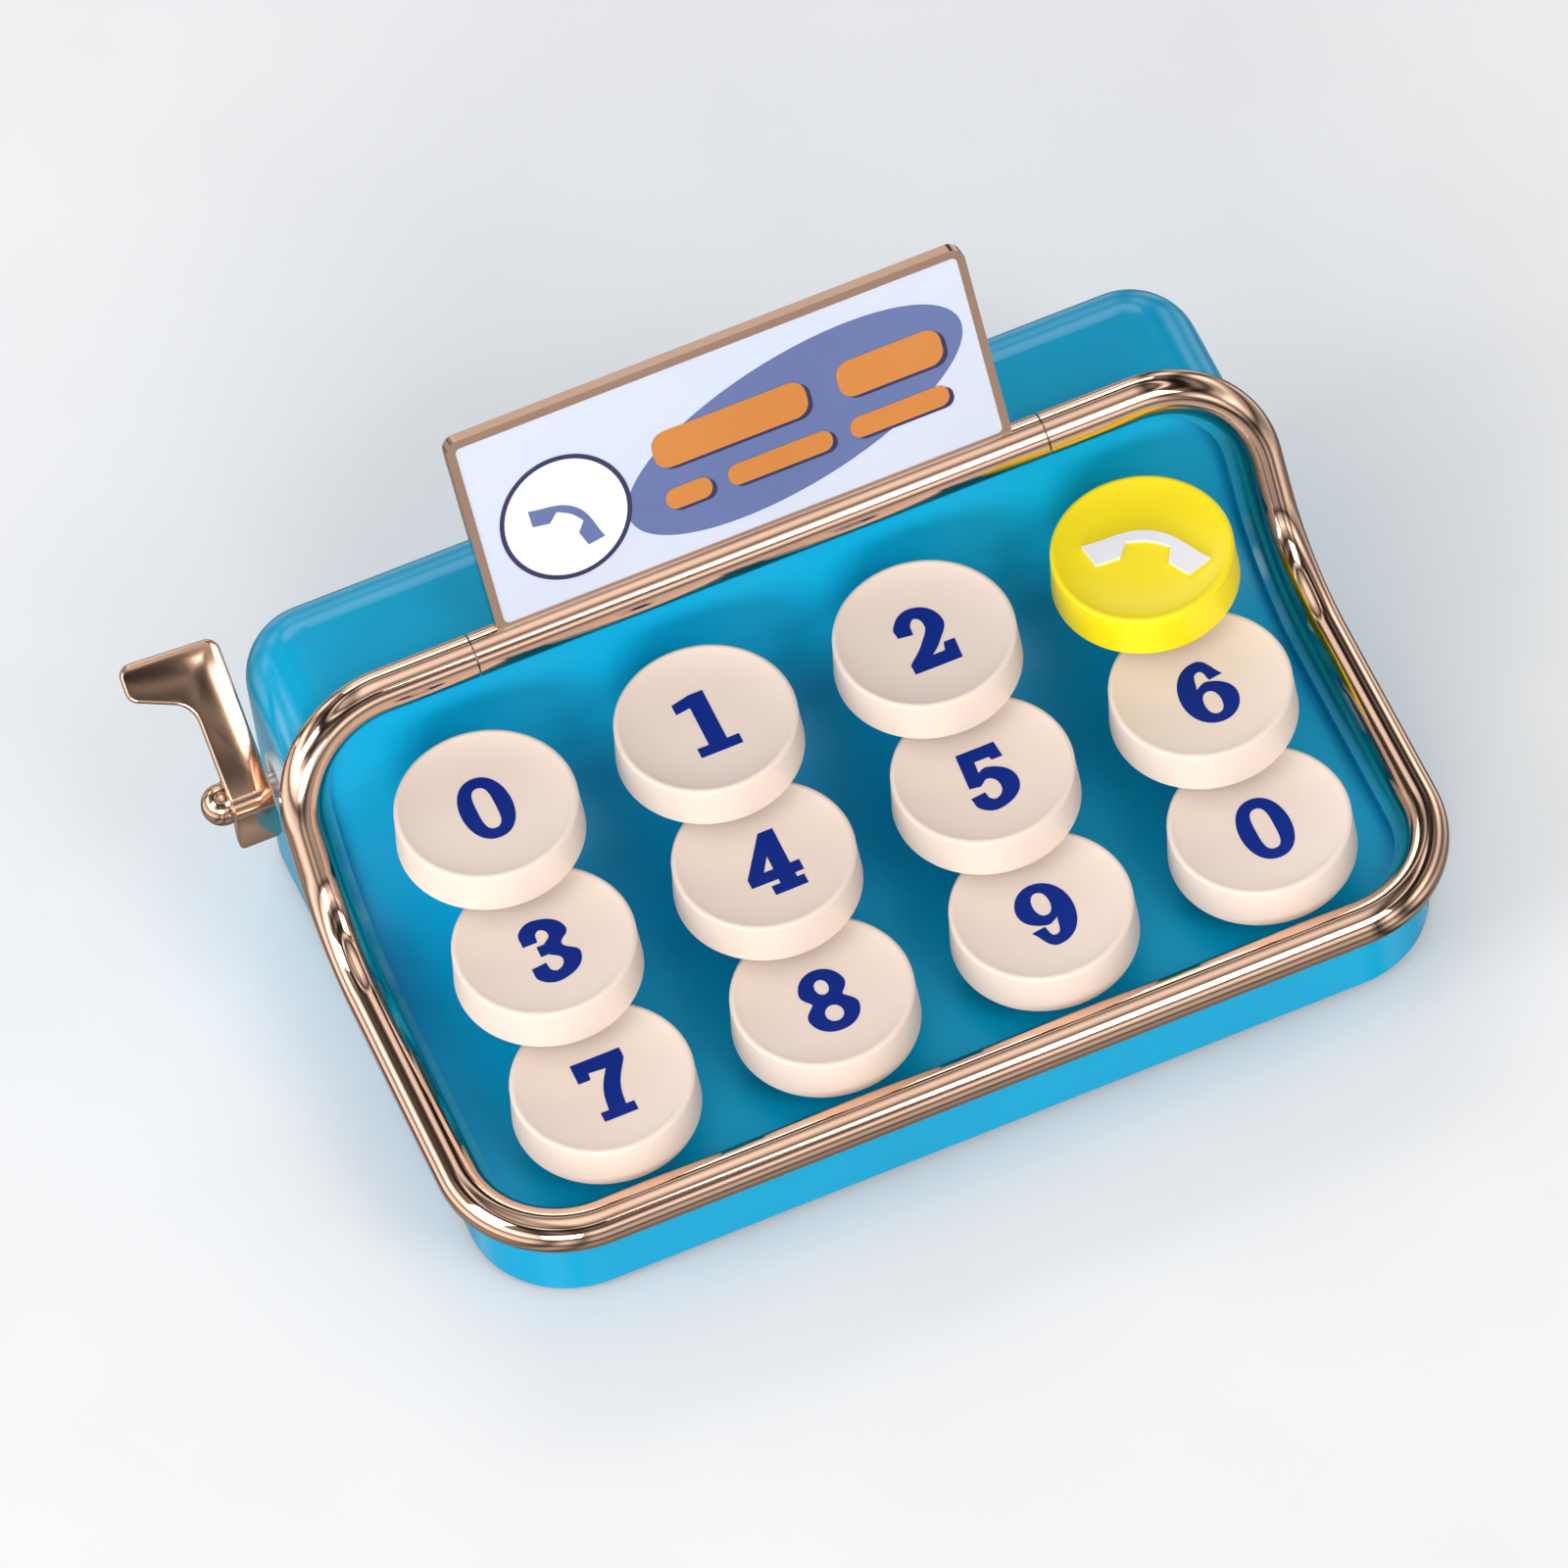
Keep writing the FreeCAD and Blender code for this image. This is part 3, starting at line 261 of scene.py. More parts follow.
def lathe(name, profile, steps=128):
    """A closed mesh from a profile of (radius, height) points turned about Z."""
    mesh = bmesh.new()
    rings = []
    for radius, height in profile:
        if radius < WELD:
            rings.append([mesh.verts.new((0, 0, height))])
            continue
        ring = []
        for i in range(steps):
            angle = 2 * math.pi * i / steps
            ring.append(mesh.verts.new((radius * math.cos(angle), radius * math.sin(angle), height)))
        rings.append(ring)
    for low, high in zip(rings, rings[1:]):
        for i in range(steps):
            j = (i + 1) % steps
            corners = [low[i % len(low)], low[j % len(low)], high[j % len(high)], high[i % len(high)]]
            corners = list(dict.fromkeys(corners))
            if len(corners) > 2:
                mesh.faces.new(corners)
    bmesh.ops.remove_doubles(mesh, verts=mesh.verts, dist=WELD)
    return to_mesh(name, mesh)


def leaning(angle):
    """The turn that stands a flat shape's y up at an angle from the ground, about X."""
    along = Vector((0, math.cos(angle), math.sin(angle)))
    normal = Vector((0, -math.sin(angle), math.cos(angle)))
    return Matrix((Vector((1, 0, 0)), along, normal)).transposed().to_4x4()


def arc_points(centre, radius, start, stop, steps):
    """Points on an arc from one angle to another, in degrees, as (x, y)."""
    points = []
    for i in range(steps + 1):
        angle = math.radians(start + (stop - start) * i / steps)
        points.append((centre[0] + radius * math.cos(angle), centre[1] + radius * math.sin(angle)))
    return points


def rounded(corners, radii, steps=6):
    """The corners of an outline, each rounded by its own radius."""
    points = []
    count = len(corners)
    for i, radius in enumerate(radii):
        corner = Vector(corners[i])
        before = (Vector(corners[i - 1]) - corner).normalized()
        after = (Vector(corners[(i + 1) % count]) - corner).normalized()
        if radius <= 0:
            points.append(tuple(corner))
            continue
        half = before.angle(after) / 2
        start = corner + before * radius / math.tan(half)
        stop = corner + after * radius / math.tan(half)
        centre = corner + (before + after).normalized() * radius / math.sin(half)
        for k in range(steps + 1):
            share = k / steps
            aim = (start - centre).slerp(stop - centre, share)
            points.append(tuple(centre + aim.normalized() * radius))
    return points


# Digits -----------------------------------------------------------------------------------------

# An outline is in a box one unit high. Its points are corners, or smooth where there is a third value.


def oval(x, y, half_width, half_height):
    """A closed oval outline of four smooth points."""
    return [
        (x + half_width, y, 1),
        (x, y + half_height, 1),
        (x - half_width, y, 1),
        (x, y - half_height, 1),
    ]


GLYPHS = {
    "0": [oval(0.35, 0.5, 0.34, 0.505), oval(0.35, 0.5, 0.15, 0.375)],
    "1": [[
        (0.10, 0.0), (0.66, 0.0), (0.66, 0.125), (0.49, 0.125), (0.49, 1.0), (0.31, 1.0),
        (0.06, 0.94), (0.06, 0.81), (0.27, 0.84), (0.27, 0.125), (0.10, 0.125),
    ]],
    "2": [[
        (0.03, 0.0), (0.67, 0.0), (0.69, 0.30), (0.57, 0.30), (0.53, 0.165), (0.29, 0.165),
        (0.50, 0.37, 1), (0.665, 0.71, 1), (0.355, 1.005, 1), (0.045, 0.80, 1), (0.045, 0.655),
        (0.215, 0.63), (0.245, 0.79, 1), (0.345, 0.865, 1), (0.445, 0.71, 1), (0.30, 0.42, 1),
        (0.03, 0.14),
    ]],
    "3": [[
        (0.03, 0.28), (0.055, 0.10, 1), (0.345, -0.01, 1), (0.69, 0.285, 1), (0.51, 0.525, 1),
        (0.655, 0.745, 1), (0.355, 1.005, 1), (0.085, 0.91, 1), (0.055, 0.70), (0.225, 0.70),
        (0.255, 0.83, 1), (0.345, 0.87, 1), (0.44, 0.735, 1), (0.32, 0.59), (0.22, 0.59), (0.22, 0.455),
        (0.32, 0.455), (0.47, 0.29, 1), (0.34, 0.125, 1), (0.235, 0.17, 1), (0.205, 0.30),
    ]],
    "4": [
        [
            (0.25, 0.0), (0.68, 0.0), (0.68, 0.12), (0.58, 0.12), (0.58, 0.235), (0.71, 0.235),
            (0.71, 0.375), (0.58, 0.375), (0.58, 1.0), (0.40, 1.0), (0.0, 0.365), (0.0, 0.235),
            (0.38, 0.235), (0.38, 0.12), (0.25, 0.12),
        ],
        [(0.19, 0.375), (0.38, 0.70), (0.38, 0.375)],
    ],
    "5": [[
        (0.03, 0.26), (0.075, 0.085, 1), (0.34, -0.01, 1), (0.69, 0.325, 1), (0.40, 0.655, 1),
        (0.24, 0.60), (0.26, 0.84), (0.50, 0.84), (0.52, 0.78), (0.64, 0.78), (0.62, 1.0), (0.105, 1.0),
        (0.07, 0.455), (0.20, 0.435), (0.345, 0.515, 1), (0.475, 0.32, 1), (0.335, 0.125, 1),
        (0.235, 0.165, 1), (0.20, 0.28),
    ]],
    "6": [
        [
            (0.665, 0.71), (0.47, 0.68), (0.38, 0.86, 1), (0.25, 0.60), (0.43, 0.665, 1),
            (0.735, 0.33, 1), (0.36, -0.03, 1), (-0.025, 0.45, 1), (0.385, 1.03, 1),
        ],
        oval(0.37, 0.315, 0.12, 0.195),
    ],
    "7": [[
        (0.12, 0.0), (0.56, 0.0), (0.56, 0.12), (0.44, 0.12), (0.50, 0.47, 1), (0.70, 0.86),
        (0.70, 1.0), (0.03, 1.0), (0.03, 0.72), (0.165, 0.72), (0.18, 0.83), (0.48, 0.83), (0.30, 0.48, 1),
        (0.235, 0.12), (0.12, 0.12),
    ]],
    "8": [
        [
            (0.69, 0.265, 1), (0.54, 0.515), (0.655, 0.74, 1), (0.35, 1.005, 1), (0.045, 0.74, 1),
            (0.16, 0.515), (0.01, 0.265, 1), (0.35, -0.01, 1),
        ],
        oval(0.35, 0.73, 0.115, 0.145),
        oval(0.35, 0.27, 0.145, 0.155),
    ],
}
GLYPH_WIDTH = 0.71
GLYPH_MIDDLE = (GLYPH_WIDTH / 2, 0.5)
GLYPHS["9"] = [[(GLYPH_WIDTH - p[0], 1.0 - p[1], *p[2:]) for p in line] for line in GLYPHS["6"]]
BOLD_GLYPHS = ("6", "9")  # drawn at their full weight


def flat_shape(name, outlines, thickness, weight=0.0):
    """A filled flat shape from closed outlines with corners and smooth points.

    weight moves every outline outwards, which makes a thin stroke bolder.
    """
    curve = bpy.data.curves.new(name, "CURVE")
    curve.dimensions = "2D"
    curve.fill_mode = "BOTH"
    curve.resolution_u = 14
    curve.extrude = thickness / 2
    curve.offset = weight
    for outline in outlines:
        spline = curve.splines.new("BEZIER")
        spline.bezier_points.add(len(outline) - 1)
        spline.use_cyclic_u = True
        for point, (x, y, *smooth) in zip(spline.bezier_points, outline):
            point.co = (x, y, 0)
            kind = "AUTO" if smooth else "VECTOR"
            point.handle_left_type = point.handle_right_type = kind
    holder = bpy.data.objects.new(name, curve)
    bpy.context.scene.collection.objects.link(holder)
    bpy.context.view_layer.update()
    graph = bpy.context.evaluated_depsgraph_get()
    mesh = bpy.data.meshes.new_from_object(holder.evaluated_get(graph))
    bpy.data.objects.remove(holder)
    bpy.data.curves.remove(curve)
    return mesh


# Keys -------------------------------------------------------------------------------------------

# The cap of a key: its side tapers to a rounded edge, then a small lip leads into the dish.
FOOT_CHAMFER = 0.12 * MM
TAPER = 0.25 * MM
RIM_DROP = 0.9 * MM
EDGE_RADIUS = 0.42 * MM
EDGE_FROM = 8  # degrees, where the rounded edge leaves the side
LIP_RUN, LIP_DROP = 0.12 * MM, 0.03 * MM
DISH_EDGE = 0.95 * MM
DISH_SINK = 0.10 * MM
DISH_DEPTH = 0.75 * MM
DISH_POWER = 4  # the higher, the flatter its middle and the steeper its edge
DISH_RINGS = 16
SKIN = 1.2 * MM
HOLLOW_ROOM = 0.4 * MM

# What is printed on the keys.
PRINT_FACET = 0.8 * MM
DIGIT_HEIGHT = 7.6 * MM
DIGIT_WEIGHT = 0.02
DIGIT_PLACE = (0.3 * MM, -0.8 * MM)  # on the two front rows
DIGIT_LIFT, DIGIT_THICKNESS = 0.02 * MM, 0.03 * MM
MARK_TURN = math.radians(-33)
MARK_PLACE = (0.45 * MM, 0)
MARK_LIFT, MARK_THICKNESS = 0.2 * MM, 0.45 * MM
ROW_SLACK = 2 * MM

# A telephone's handset, in mm.
HANDSET = [
    (6.66, -0.30), (4.83, -2.40), (2.50, -1.05), (2.33, 0.97), (0.0, 1.35, 1), (-2.33, 0.97),
    (-2.50, -1.05), (-4.83, -2.40), (-6.66, -0.30), (0.0, 2.60, 1),
]


def dish_height(radius, rim, top):
    """How high the dished top stands at a distance from the key's middle."""
    share = min(radius / rim, 1.0)
    return top - DISH_DEPTH * (1 - share ** DISH_POWER)


def cap_profile(radius, height):
    """The side, the rounded rim and the dish of a key, then its hollow underside."""
    shoulder = radius - TAPER
    rim = radius - DISH_EDGE
    inside = radius - SKIN
    ceiling = height - SKIN - HOLLOW_ROOM
    crown = (shoulder - EDGE_RADIUS, height - EDGE_RADIUS)
    points = [(inside, 0.0), (radius - FOOT_CHAMFER, 0.0), (radius, FOOT_CHAMFER)]
    points.append((shoulder, height - RIM_DROP))
    points += arc_points(crown, EDGE_RADIUS, EDGE_FROM, 90, 7)
    points.append((rim + LIP_RUN, height - LIP_DROP))
    for i in range(DISH_RINGS + 1):
        r = rim * (1 - i / DISH_RINGS)
        points.append((r, dish_height(r, rim, height - DISH_SINK)))
    points += [(0.0, ceiling), (inside, ceiling), (inside, 0.0)]
    return points


def fine_flat(mesh_data, length, rounds=4):
    """Cuts a flat shape's faces where an edge is longer than a length, so that it can bend."""
    mesh = bmesh.new()
    mesh.from_mesh(mesh_data)
    bmesh.ops.remove_doubles(mesh, verts=mesh.verts, dist=WELD)
    bmesh.ops.triangulate(mesh, faces=mesh.faces)
    for _ in range(rounds):
        long = [e for e in mesh.edges if e.calc_length() > length]
        if not long:
            break
        bmesh.ops.subdivide_edges(mesh, edges=long, cuts=1)
        bmesh.ops.triangulate(mesh, faces=mesh.faces)
    return mesh


def print_on_key(name, outlines, scale, turn, shift, key, lift, thickness, material, weight=0.0):
    """A flat mark laid on a key's dish and lifted by a hair."""
    low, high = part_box(key + "_cap")
    centre = (low + high) / 2
    radius = (high.x - low.x) / 2
    mesh = fine_flat(flat_shape(name, outlines, thickness / scale, weight), PRINT_FACET / scale)
    spin = Matrix.Rotation(turn, 3, "Z")
    rim = radius - DISH_EDGE
    for vertex in mesh.verts:
        flat = spin @ Vector((vertex.co.x * scale + shift[0], vertex.co.y * scale + shift[1], 0))
        height = dish_height(flat.length, rim, high.z - DISH_SINK)
        vertex.co = (centre.x + flat.x, centre.y + flat.y, height + lift + vertex.co.z * scale)
    data = to_mesh(name, mesh)
    return piece(name, data, material, key, "key_ivory" if material == "ink" else "key_yellow")


def make_keys():
    """Every key's cap with its digit, and the handset mark on the yellow one."""
    rear_row_y = max((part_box(key + "_cap")[0].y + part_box(key + "_cap")[1].y) / 2 for key in KEYS)
    for key in KEYS:
        low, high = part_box(key + "_cap")
        centre = (low + high) / 2
        radius, height = (high.x - low.x) / 2, high.z - low.z
        mesh = lathe(key + "_top", cap_profile(radius, height))
        mesh.transform(Matrix.Translation((centre.x, centre.y, low.z)))
        called = key == "key_call"
        material, slot = ("yellow", "key_yellow") if called else ("ivory", "key_ivory")
        piece(key + "_top", mesh, material, key, slot, key + "_cap")
        if called:
            print_on_key("handset_mark", [HANDSET], MM, MARK_TURN, MARK_PLACE, key,
                         MARK_LIFT, MARK_THICKNESS, "white")
        else:
            digit = key.split("_")[1]
            x, y = DIGIT_PLACE if centre.y < rear_row_y - ROW_SLACK else (0.0, 0.0)
            shift = (x - GLYPH_MIDDLE[0] * DIGIT_HEIGHT, y - GLYPH_MIDDLE[1] * DIGIT_HEIGHT)
            weight = 0.0 if digit in BOLD_GLYPHS else DIGIT_WEIGHT
            print_on_key(f"{key}_digit", GLYPHS[digit], DIGIT_HEIGHT, 0.0, shift, key,
                         DIGIT_LIFT, DIGIT_THICKNESS, "ink", weight)


# Sign -------------------------------------------------------------------------------------------

SIGN_LEAN = math.radians(67.0)

# The print on the card, in mm from the middle of the hinge bar: x to the right and y up the card.
CARD_FACE = 0.70  # the card's face, over that middle
PRINT_THICKNESS = 0.02
LOW_LAYER, MIDDLE_LAYER, TOP_LAYER = CARD_FACE + 0.01, CARD_FACE + 0.03, CARD_FACE + 0.05
OVAL_CENTRE, OVAL_HALF_SIZE, OVAL_TURN = (7.0, 12.5), (19.5, 7.6), math.radians(12)
TITLE_BARS = [(-8.0, 8.8), (12.2, 23.6)]
TITLE_ROW, TITLE_ROUND = (12.6, 16.8), 1.6
NOTE_BARS = [(-8.0, -3.0), (-1.2, 10.2), (12.2, 23.0)]
NOTE_ROW, NOTE_ROUND = (7.8, 10.2), 1.1
SHADE_SHIFT = (0.45, -0.35)
BADGE_CENTRE, RING_RADIUS, BADGE_RADIUS = (-18.3, 11.6), 7.0, 6.5
BADGE_MARK_PLACE, BADGE_MARK_TURN, BADGE_MARK_SCALE = (-18.3, 11.0), math.radians(-40), 0.68


def bar_outline(x_low, x_high, y_low, y_high, radius):
    """A rectangle with rounded corners."""
    corners = [(x_low, y_low), (x_high, y_low), (x_high, y_high), (x_low, y_high)]
    return rounded(corners, [radius] * 4)


def sign_print(name, outlines, lift, material):
    """A thin printed patch on the sign's card. Outlines are in mm, from the middle of the hinge bar."""
    low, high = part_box("sign_bar")
    mesh = flat_shape(name, outlines, PRINT_THICKNESS)
    turn = leaning(SIGN_LEAN)
    shift = Matrix.Translation((low + high) / 2 + turn.col[2].xyz * lift * MM)
    mesh.transform(shift @ turn @ Matrix.Scale(MM, 4))
    return piece(name, mesh, material, "sign", "card")


def make_sign():
    """A plain card graphic: an oval, two rows of bars in the place of words, and a handset badge."""
    turn = Matrix.Rotation(OVAL_TURN, 2)
    half_width, half_height = OVAL_HALF_SIZE
    oval_points = []
    for x, y in arc_points((0, 0), 1.0, 0, 360, 72)[:-1]:
        spot = Vector(OVAL_CENTRE) + turn @ Vector((half_width * x, half_height * y))
        oval_points.append(tuple(spot))
    sign_print("card_oval", [oval_points], LOW_LAYER, "slate")
    bars = [bar_outline(a, b, *TITLE_ROW, TITLE_ROUND) for a, b in TITLE_BARS]
    bars += [bar_outline(a, b, *NOTE_ROW, NOTE_ROUND) for a, b in NOTE_BARS]
    shades = [[tuple(Vector(point) + Vector(SHADE_SHIFT)) for point in bar] for bar in bars]
    sign_print("card_bar_shades", shades, MIDDLE_LAYER, "navy")
    sign_print("card_bars", bars, TOP_LAYER, "orange")
    ring, badge = [arc_points(BADGE_CENTRE, r, 0, 360, 64)[:-1] for r in (RING_RADIUS, BADGE_RADIUS)]
    sign_print("card_ring", [ring, badge], TOP_LAYER, "navy")
    sign_print("card_badge", [badge], MIDDLE_LAYER, "white")
    spin = Matrix.Rotation(BADGE_MARK_TURN, 2)
    handset = []
    for x, y, *smooth in HANDSET:
        spot = Vector(BADGE_MARK_PLACE) + spin @ Vector((x, y)) * BADGE_MARK_SCALE
        handset.append((*spot, *smooth))
    sign_print("card_handset", [handset], TOP_LAYER, "slate")


# Tube frame -------------------------------------------------------------------------------------

# The side of the frame: a lower and an upper run, with their slopes, and the bends between runs.
LOWER_SLOPE = math.radians(0.9)
UPPER_SLOPE = math.radians(66.1)
LOWER_RUN = 43.6 * MM
UPPER_RUN = 25.4 * MM
FRAME_LEVEL = 12.3 * MM
FRAME_CORNER = 11.3 * MM
FRAME_BEND = 14.0 * MM
SPLIT_GAP = 0.2 * MM
PIN_BORE = 1.25 * MM
PIN_BORE_DEPTH = 4.3 * MM


def sweep_tube(path, radius, bore, bore_depth, steps=64):
    """A round tube along a smooth path, with a blind bore in each end."""
    mesh = bmesh.new()
    legs = [(b - a).normalized() for a, b in zip(path, path[1:])]
    headings = [legs[0]] + [(a + b).normalized() for a, b in zip(legs, legs[1:])] + [legs[-1]]
    side = headings[0].orthogonal().normalized()
    rings = []
    for spot, heading in zip(path, headings):
        side = (side - heading * side.dot(heading)).normalized()
        rings.append((spot, side, heading.cross(side), radius))
    (first, *first_sides, _), (last, *last_sides, _) = rings[0], rings[-1]
    rings = [
        (first + headings[0] * bore_depth, *first_sides, bore), (first, *first_sides, bore), *rings,
        (last, *last_sides, bore), (last - headings[-1] * bore_depth, *last_sides, bore),
    ]
    angles = [2 * math.pi * i / steps for i in range(steps)]
    loops = []
    for spot, across, over, size in rings:
        loops.append([
            mesh.verts.new(spot + (across * math.cos(a) + over * math.sin(a)) * size) for a in angles
        ])
    for low, high in zip(loops, loops[1:]):
        for i in range(steps):
            j = (i + 1) % steps
            mesh.faces.new((low[i], low[j], high[j], high[i]))
    mesh.faces.new(loops[0])
    mesh.faces.new(loops[-1])
    return mesh


def make_frame():
    """The bent tube: open across the sign bar, with one bend half way along each side."""
    low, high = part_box("trim_frame")
    bar_low, bar_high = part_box("sign_bar")
    radius = (bar_high.z - bar_low.z) / 2
    top = (bar_low + bar_high) / 2
    side = high.x - radius
    front = Vector((side, low.y + radius, FRAME_LEVEL))
    kink = front + Vector((0, math.cos(LOWER_SLOPE), math.sin(LOWER_SLOPE))) * LOWER_RUN
    crest = kink + Vector((0, math.cos(UPPER_SLOPE), math.sin(UPPER_SLOPE))) * UPPER_RUN
    split = bar_high.x + SPLIT_GAP
    half = [Vector((split, top.y, top.z)), crest, kink, front]
    corners = half + [Vector((-spot.x, spot.y, spot.z)) for spot in reversed(half)]
    radii = [0, FRAME_CORNER, FRAME_BEND, FRAME_CORNER, FRAME_CORNER, FRAME_BEND, FRAME_CORNER, 0]
    path = [Vector(point) for point in rounded(corners, radii, steps=24)]
    mesh = to_mesh("tube", sweep_tube(path, radius, PIN_BORE, PIN_BORE_DEPTH), smooth_below=50)
    piece("tube_frame", mesh, "gold", "housing", "trim_rose_gold", "trim_frame")


# Lever ------------------------------------------------------------------------------------------

LEVER_LEAN = math.radians(42.0)

# The lever's plate, in mm: an arm that ends in a tip to the left, a tail below the shaft, and a
# barrel round it. Heights are over the shaft's axis.
ARM_WIDTH, ARM_HEIGHT = 4.6, 16.4
TIP_TOP, TIP_UNDER = 17.0, 13.2
ELBOW_HEIGHT = 10.6
TIP_ROUND, ELBOW_ROUND = 1.3, 3.0
PLATE_FACES = (1.0, 2.4)  # how far its two faces are from the shaft's axis
ARM_BEVEL, TAIL_BEVEL = 0.34, 0.3
TAIL_DROP, TAIL_ROUND = 5.4, 0.6
BARREL_RADIUS, BARREL_BORE, BARREL_CHAMFER = 2.4, 1.45, 0.25


def bevel_sharp(mesh, width, above=30, segments=3):
    """Rounds every edge of a mesh that is sharper than an angle in degrees."""
    sharp = [e for e in mesh.edges if e.is_manifold and e.calc_face_angle() > math.radians(above)]
    bmesh.ops.bevel(mesh, geom=sharp, offset=width, segments=segments, profile=0.5,
                    affect="EDGES", clamp_overlap=True)


def slab(points, low, high, bevel, place):
    """A plate from an outline and two levels, with rounded edges, put in place by a matrix."""
    mesh = bmesh.new()
    bottom = [mesh.verts.new((x, y, low)) for x, y in points]
    top = [mesh.verts.new((x, y, high)) for x, y in points]
    mesh.faces.new(list(reversed(bottom)))
    mesh.faces.new(top)
    for i in range(len(points)):
        j = (i + 1) % len(points)
        mesh.faces.new((bottom[i], bottom[j], top[j], top[i]))
    bmesh.ops.recalc_face_normals(mesh, faces=mesh.faces)
    bevel_sharp(mesh, bevel)
    bmesh.ops.transform(mesh, matrix=place, verts=mesh.verts)
    return mesh


def join_meshes(name, parts):
    """Several bmeshes as one mesh."""
    whole = bmesh.new()
    for part in parts:
        data = bpy.data.meshes.new("part")
        part.to_mesh(data)
        part.free()
        whole.from_mesh(data)
        bpy.data.meshes.remove(data)
    return to_mesh(name, whole, smooth_below=40)


def make_lever():
    """The crank plate: a stamped arm rolled round its shaft, with a short tail."""
    low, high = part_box("lever_plate")
    shaft_low, shaft_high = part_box("lever_shaft")
    axis = (shaft_low + shaft_high) / 2
    inner = high.x / MM
    arm, tip = inner - ARM_WIDTH, low.x / MM
    corners = [
        (arm, 0.0), (inner, 0.0), (inner, ARM_HEIGHT), (tip, TIP_TOP), (tip, TIP_UNDER),
        (arm, ELBOW_HEIGHT),
    ]
    points = rounded(corners, [0, 0, TIP_ROUND, TIP_ROUND, TIP_ROUND, ELBOW_ROUND], steps=8)
    base = Matrix.Translation((0, axis.y, axis.z))
    scale = Matrix.Scale(MM, 4)
    plate = slab(points, *PLATE_FACES, ARM_BEVEL, base @ leaning(LEVER_LEAN) @ scale)
    side = [(arm, -TAIL_DROP), (inner, -TAIL_DROP), (inner, 0.0), (arm, 0.0)]
    points = rounded(side, [TAIL_ROUND, TAIL_ROUND, 0, 0])
    facing = Matrix((Vector((1, 0, 0)), Vector((0, 0, 1)), Vector((0, -1, 0)))).transposed().to_4x4()
    tail = slab(points, *PLATE_FACES, TAIL_BEVEL, base @ facing @ scale)
    edge = BARREL_RADIUS - BARREL_CHAMFER
    profile = [
        (BARREL_BORE, 0.0), (edge, 0.0), (BARREL_RADIUS, BARREL_CHAMFER),
        (BARREL_RADIUS, ARM_WIDTH - BARREL_CHAMFER), (edge, ARM_WIDTH), (BARREL_BORE, ARM_WIDTH),
        (BARREL_BORE, 0.0),
    ]
    barrel = bmesh.new()
    data = lathe("barrel", profile, 64)
    barrel.from_mesh(data)
    bpy.data.meshes.remove(data)
    level = Matrix.Translation((arm * MM, axis.y, axis.z)) @ Matrix.Rotation(math.pi / 2, 4, "Y")
    bmesh.ops.transform(barrel, matrix=level @ scale, verts=barrel.verts)
    mesh = join_meshes("crank_plate", [plate, tail, barrel])
    piece("crank_plate", mesh, "lever", "lever", "lever_rose_gold", "lever_plate")


# Camera, light and floor ------------------------------------------------------------------------

# What the room reflects, as (place, level): by height, 0 below to 1 overhead, and by side, 0 left
# to 1 right.
HEIGHT_BANDS = [
    (0.0, 0.25), (0.12, 0.5), (0.22, 0.16), (0.34, 0.9), (0.44, 0.6), (0.50, 0.12), (0.56, 0.9),
    (0.64, 1.8), (0.70, 0.7), (0.76, 0.08), (0.82, 0.3), (0.86, 0.04), (0.905, 0.07), (0.92, 1.4),
    (0.945, 0.12), (0.97, 0.7), (1.0, 1.6),
]
SIDE_BANDS = [
    (0.0, 1.8), (0.12, 1.5), (0.22, 0.35), (0.30, 1.2), (0.40, 0.4), (0.47, 0.9), (0.60, 0.8),
    (0.66, 0.15), (0.74, 1.1), (0.82, 0.2), (0.90, 1.2), (1.0, 0.5),
]
BAND_TINT = (1.0, 0.96, 0.91)
ROOM_COLOUR, ROOM_LEVEL = (0.97, 0.98, 1.0, 1), 0.60

# Each light's name, place and size in metres, power in watts and colour.
LIGHTS = [
    ("key_light", (0.32, -0.70, 0.75), (0.4, 0.4), 2.1, (1.0, 0.96, 0.92)),
    ("low_light", (-0.50, -0.95, 0.28), (0.5, 0.3), 5.4, (1.0, 0.97, 0.93)),
    ("fill_light", (-0.8, -0.1, 0.45), (0.4, 0.6), 2.6, (0.97, 0.98, 1.0)),
    ("back_light", (0.1, 0.9, 0.7), (0.9, 0.3), 2.0, (1, 1, 1)),
]
LIGHT_AIM = Vector((0, 0, 0.02))
FLOOR_SIZE = 6.0
FLOOR_PALE, FLOOR_PALER = (0.86, 0.87, 0.88, 1), (0.89, 0.90, 0.91, 1)

# Places of the colour sockets on a Mix node, which has several of the same name.
MIX_FACTOR, MIX_FIRST, MIX_SECOND, MIX_RESULT = 0, 6, 7, 2


def make_camera():
    """The camera that sees the phone as the photograph does."""
    back = Vector((
        math.cos(ELEVATION) * math.sin(AZIMUTH),
        -math.cos(ELEVATION) * math.cos(AZIMUTH),
        math.sin(ELEVATION),
    ))
    level = Vector((math.cos(AZIMUTH), math.sin(AZIMUTH), 0))
    upright = back.cross(level)
    right = level * math.cos(ROLL) - upright * math.sin(ROLL)
    up = back.cross(right)
    turn = Matrix((right, up, back)).transposed().to_4x4()
    distance = FRAME_SPAN * LENS_MM / SENSOR_MM
    aim = (cad_low + cad_high) / 2 + AIM_FROM_MIDDLE
    data = bpy.data.cameras.new("camera")
    data.lens, data.sensor_width = LENS_MM, SENSOR_MM
    data.clip_start, data.clip_end = 0.1, 20.0
    camera = bpy.data.objects.new("camera", data)
    camera.matrix_world = Matrix.Translation(aim + back * distance) @ turn
    bpy.context.scene.collection.objects.link(camera)
    bpy.context.scene.camera = camera


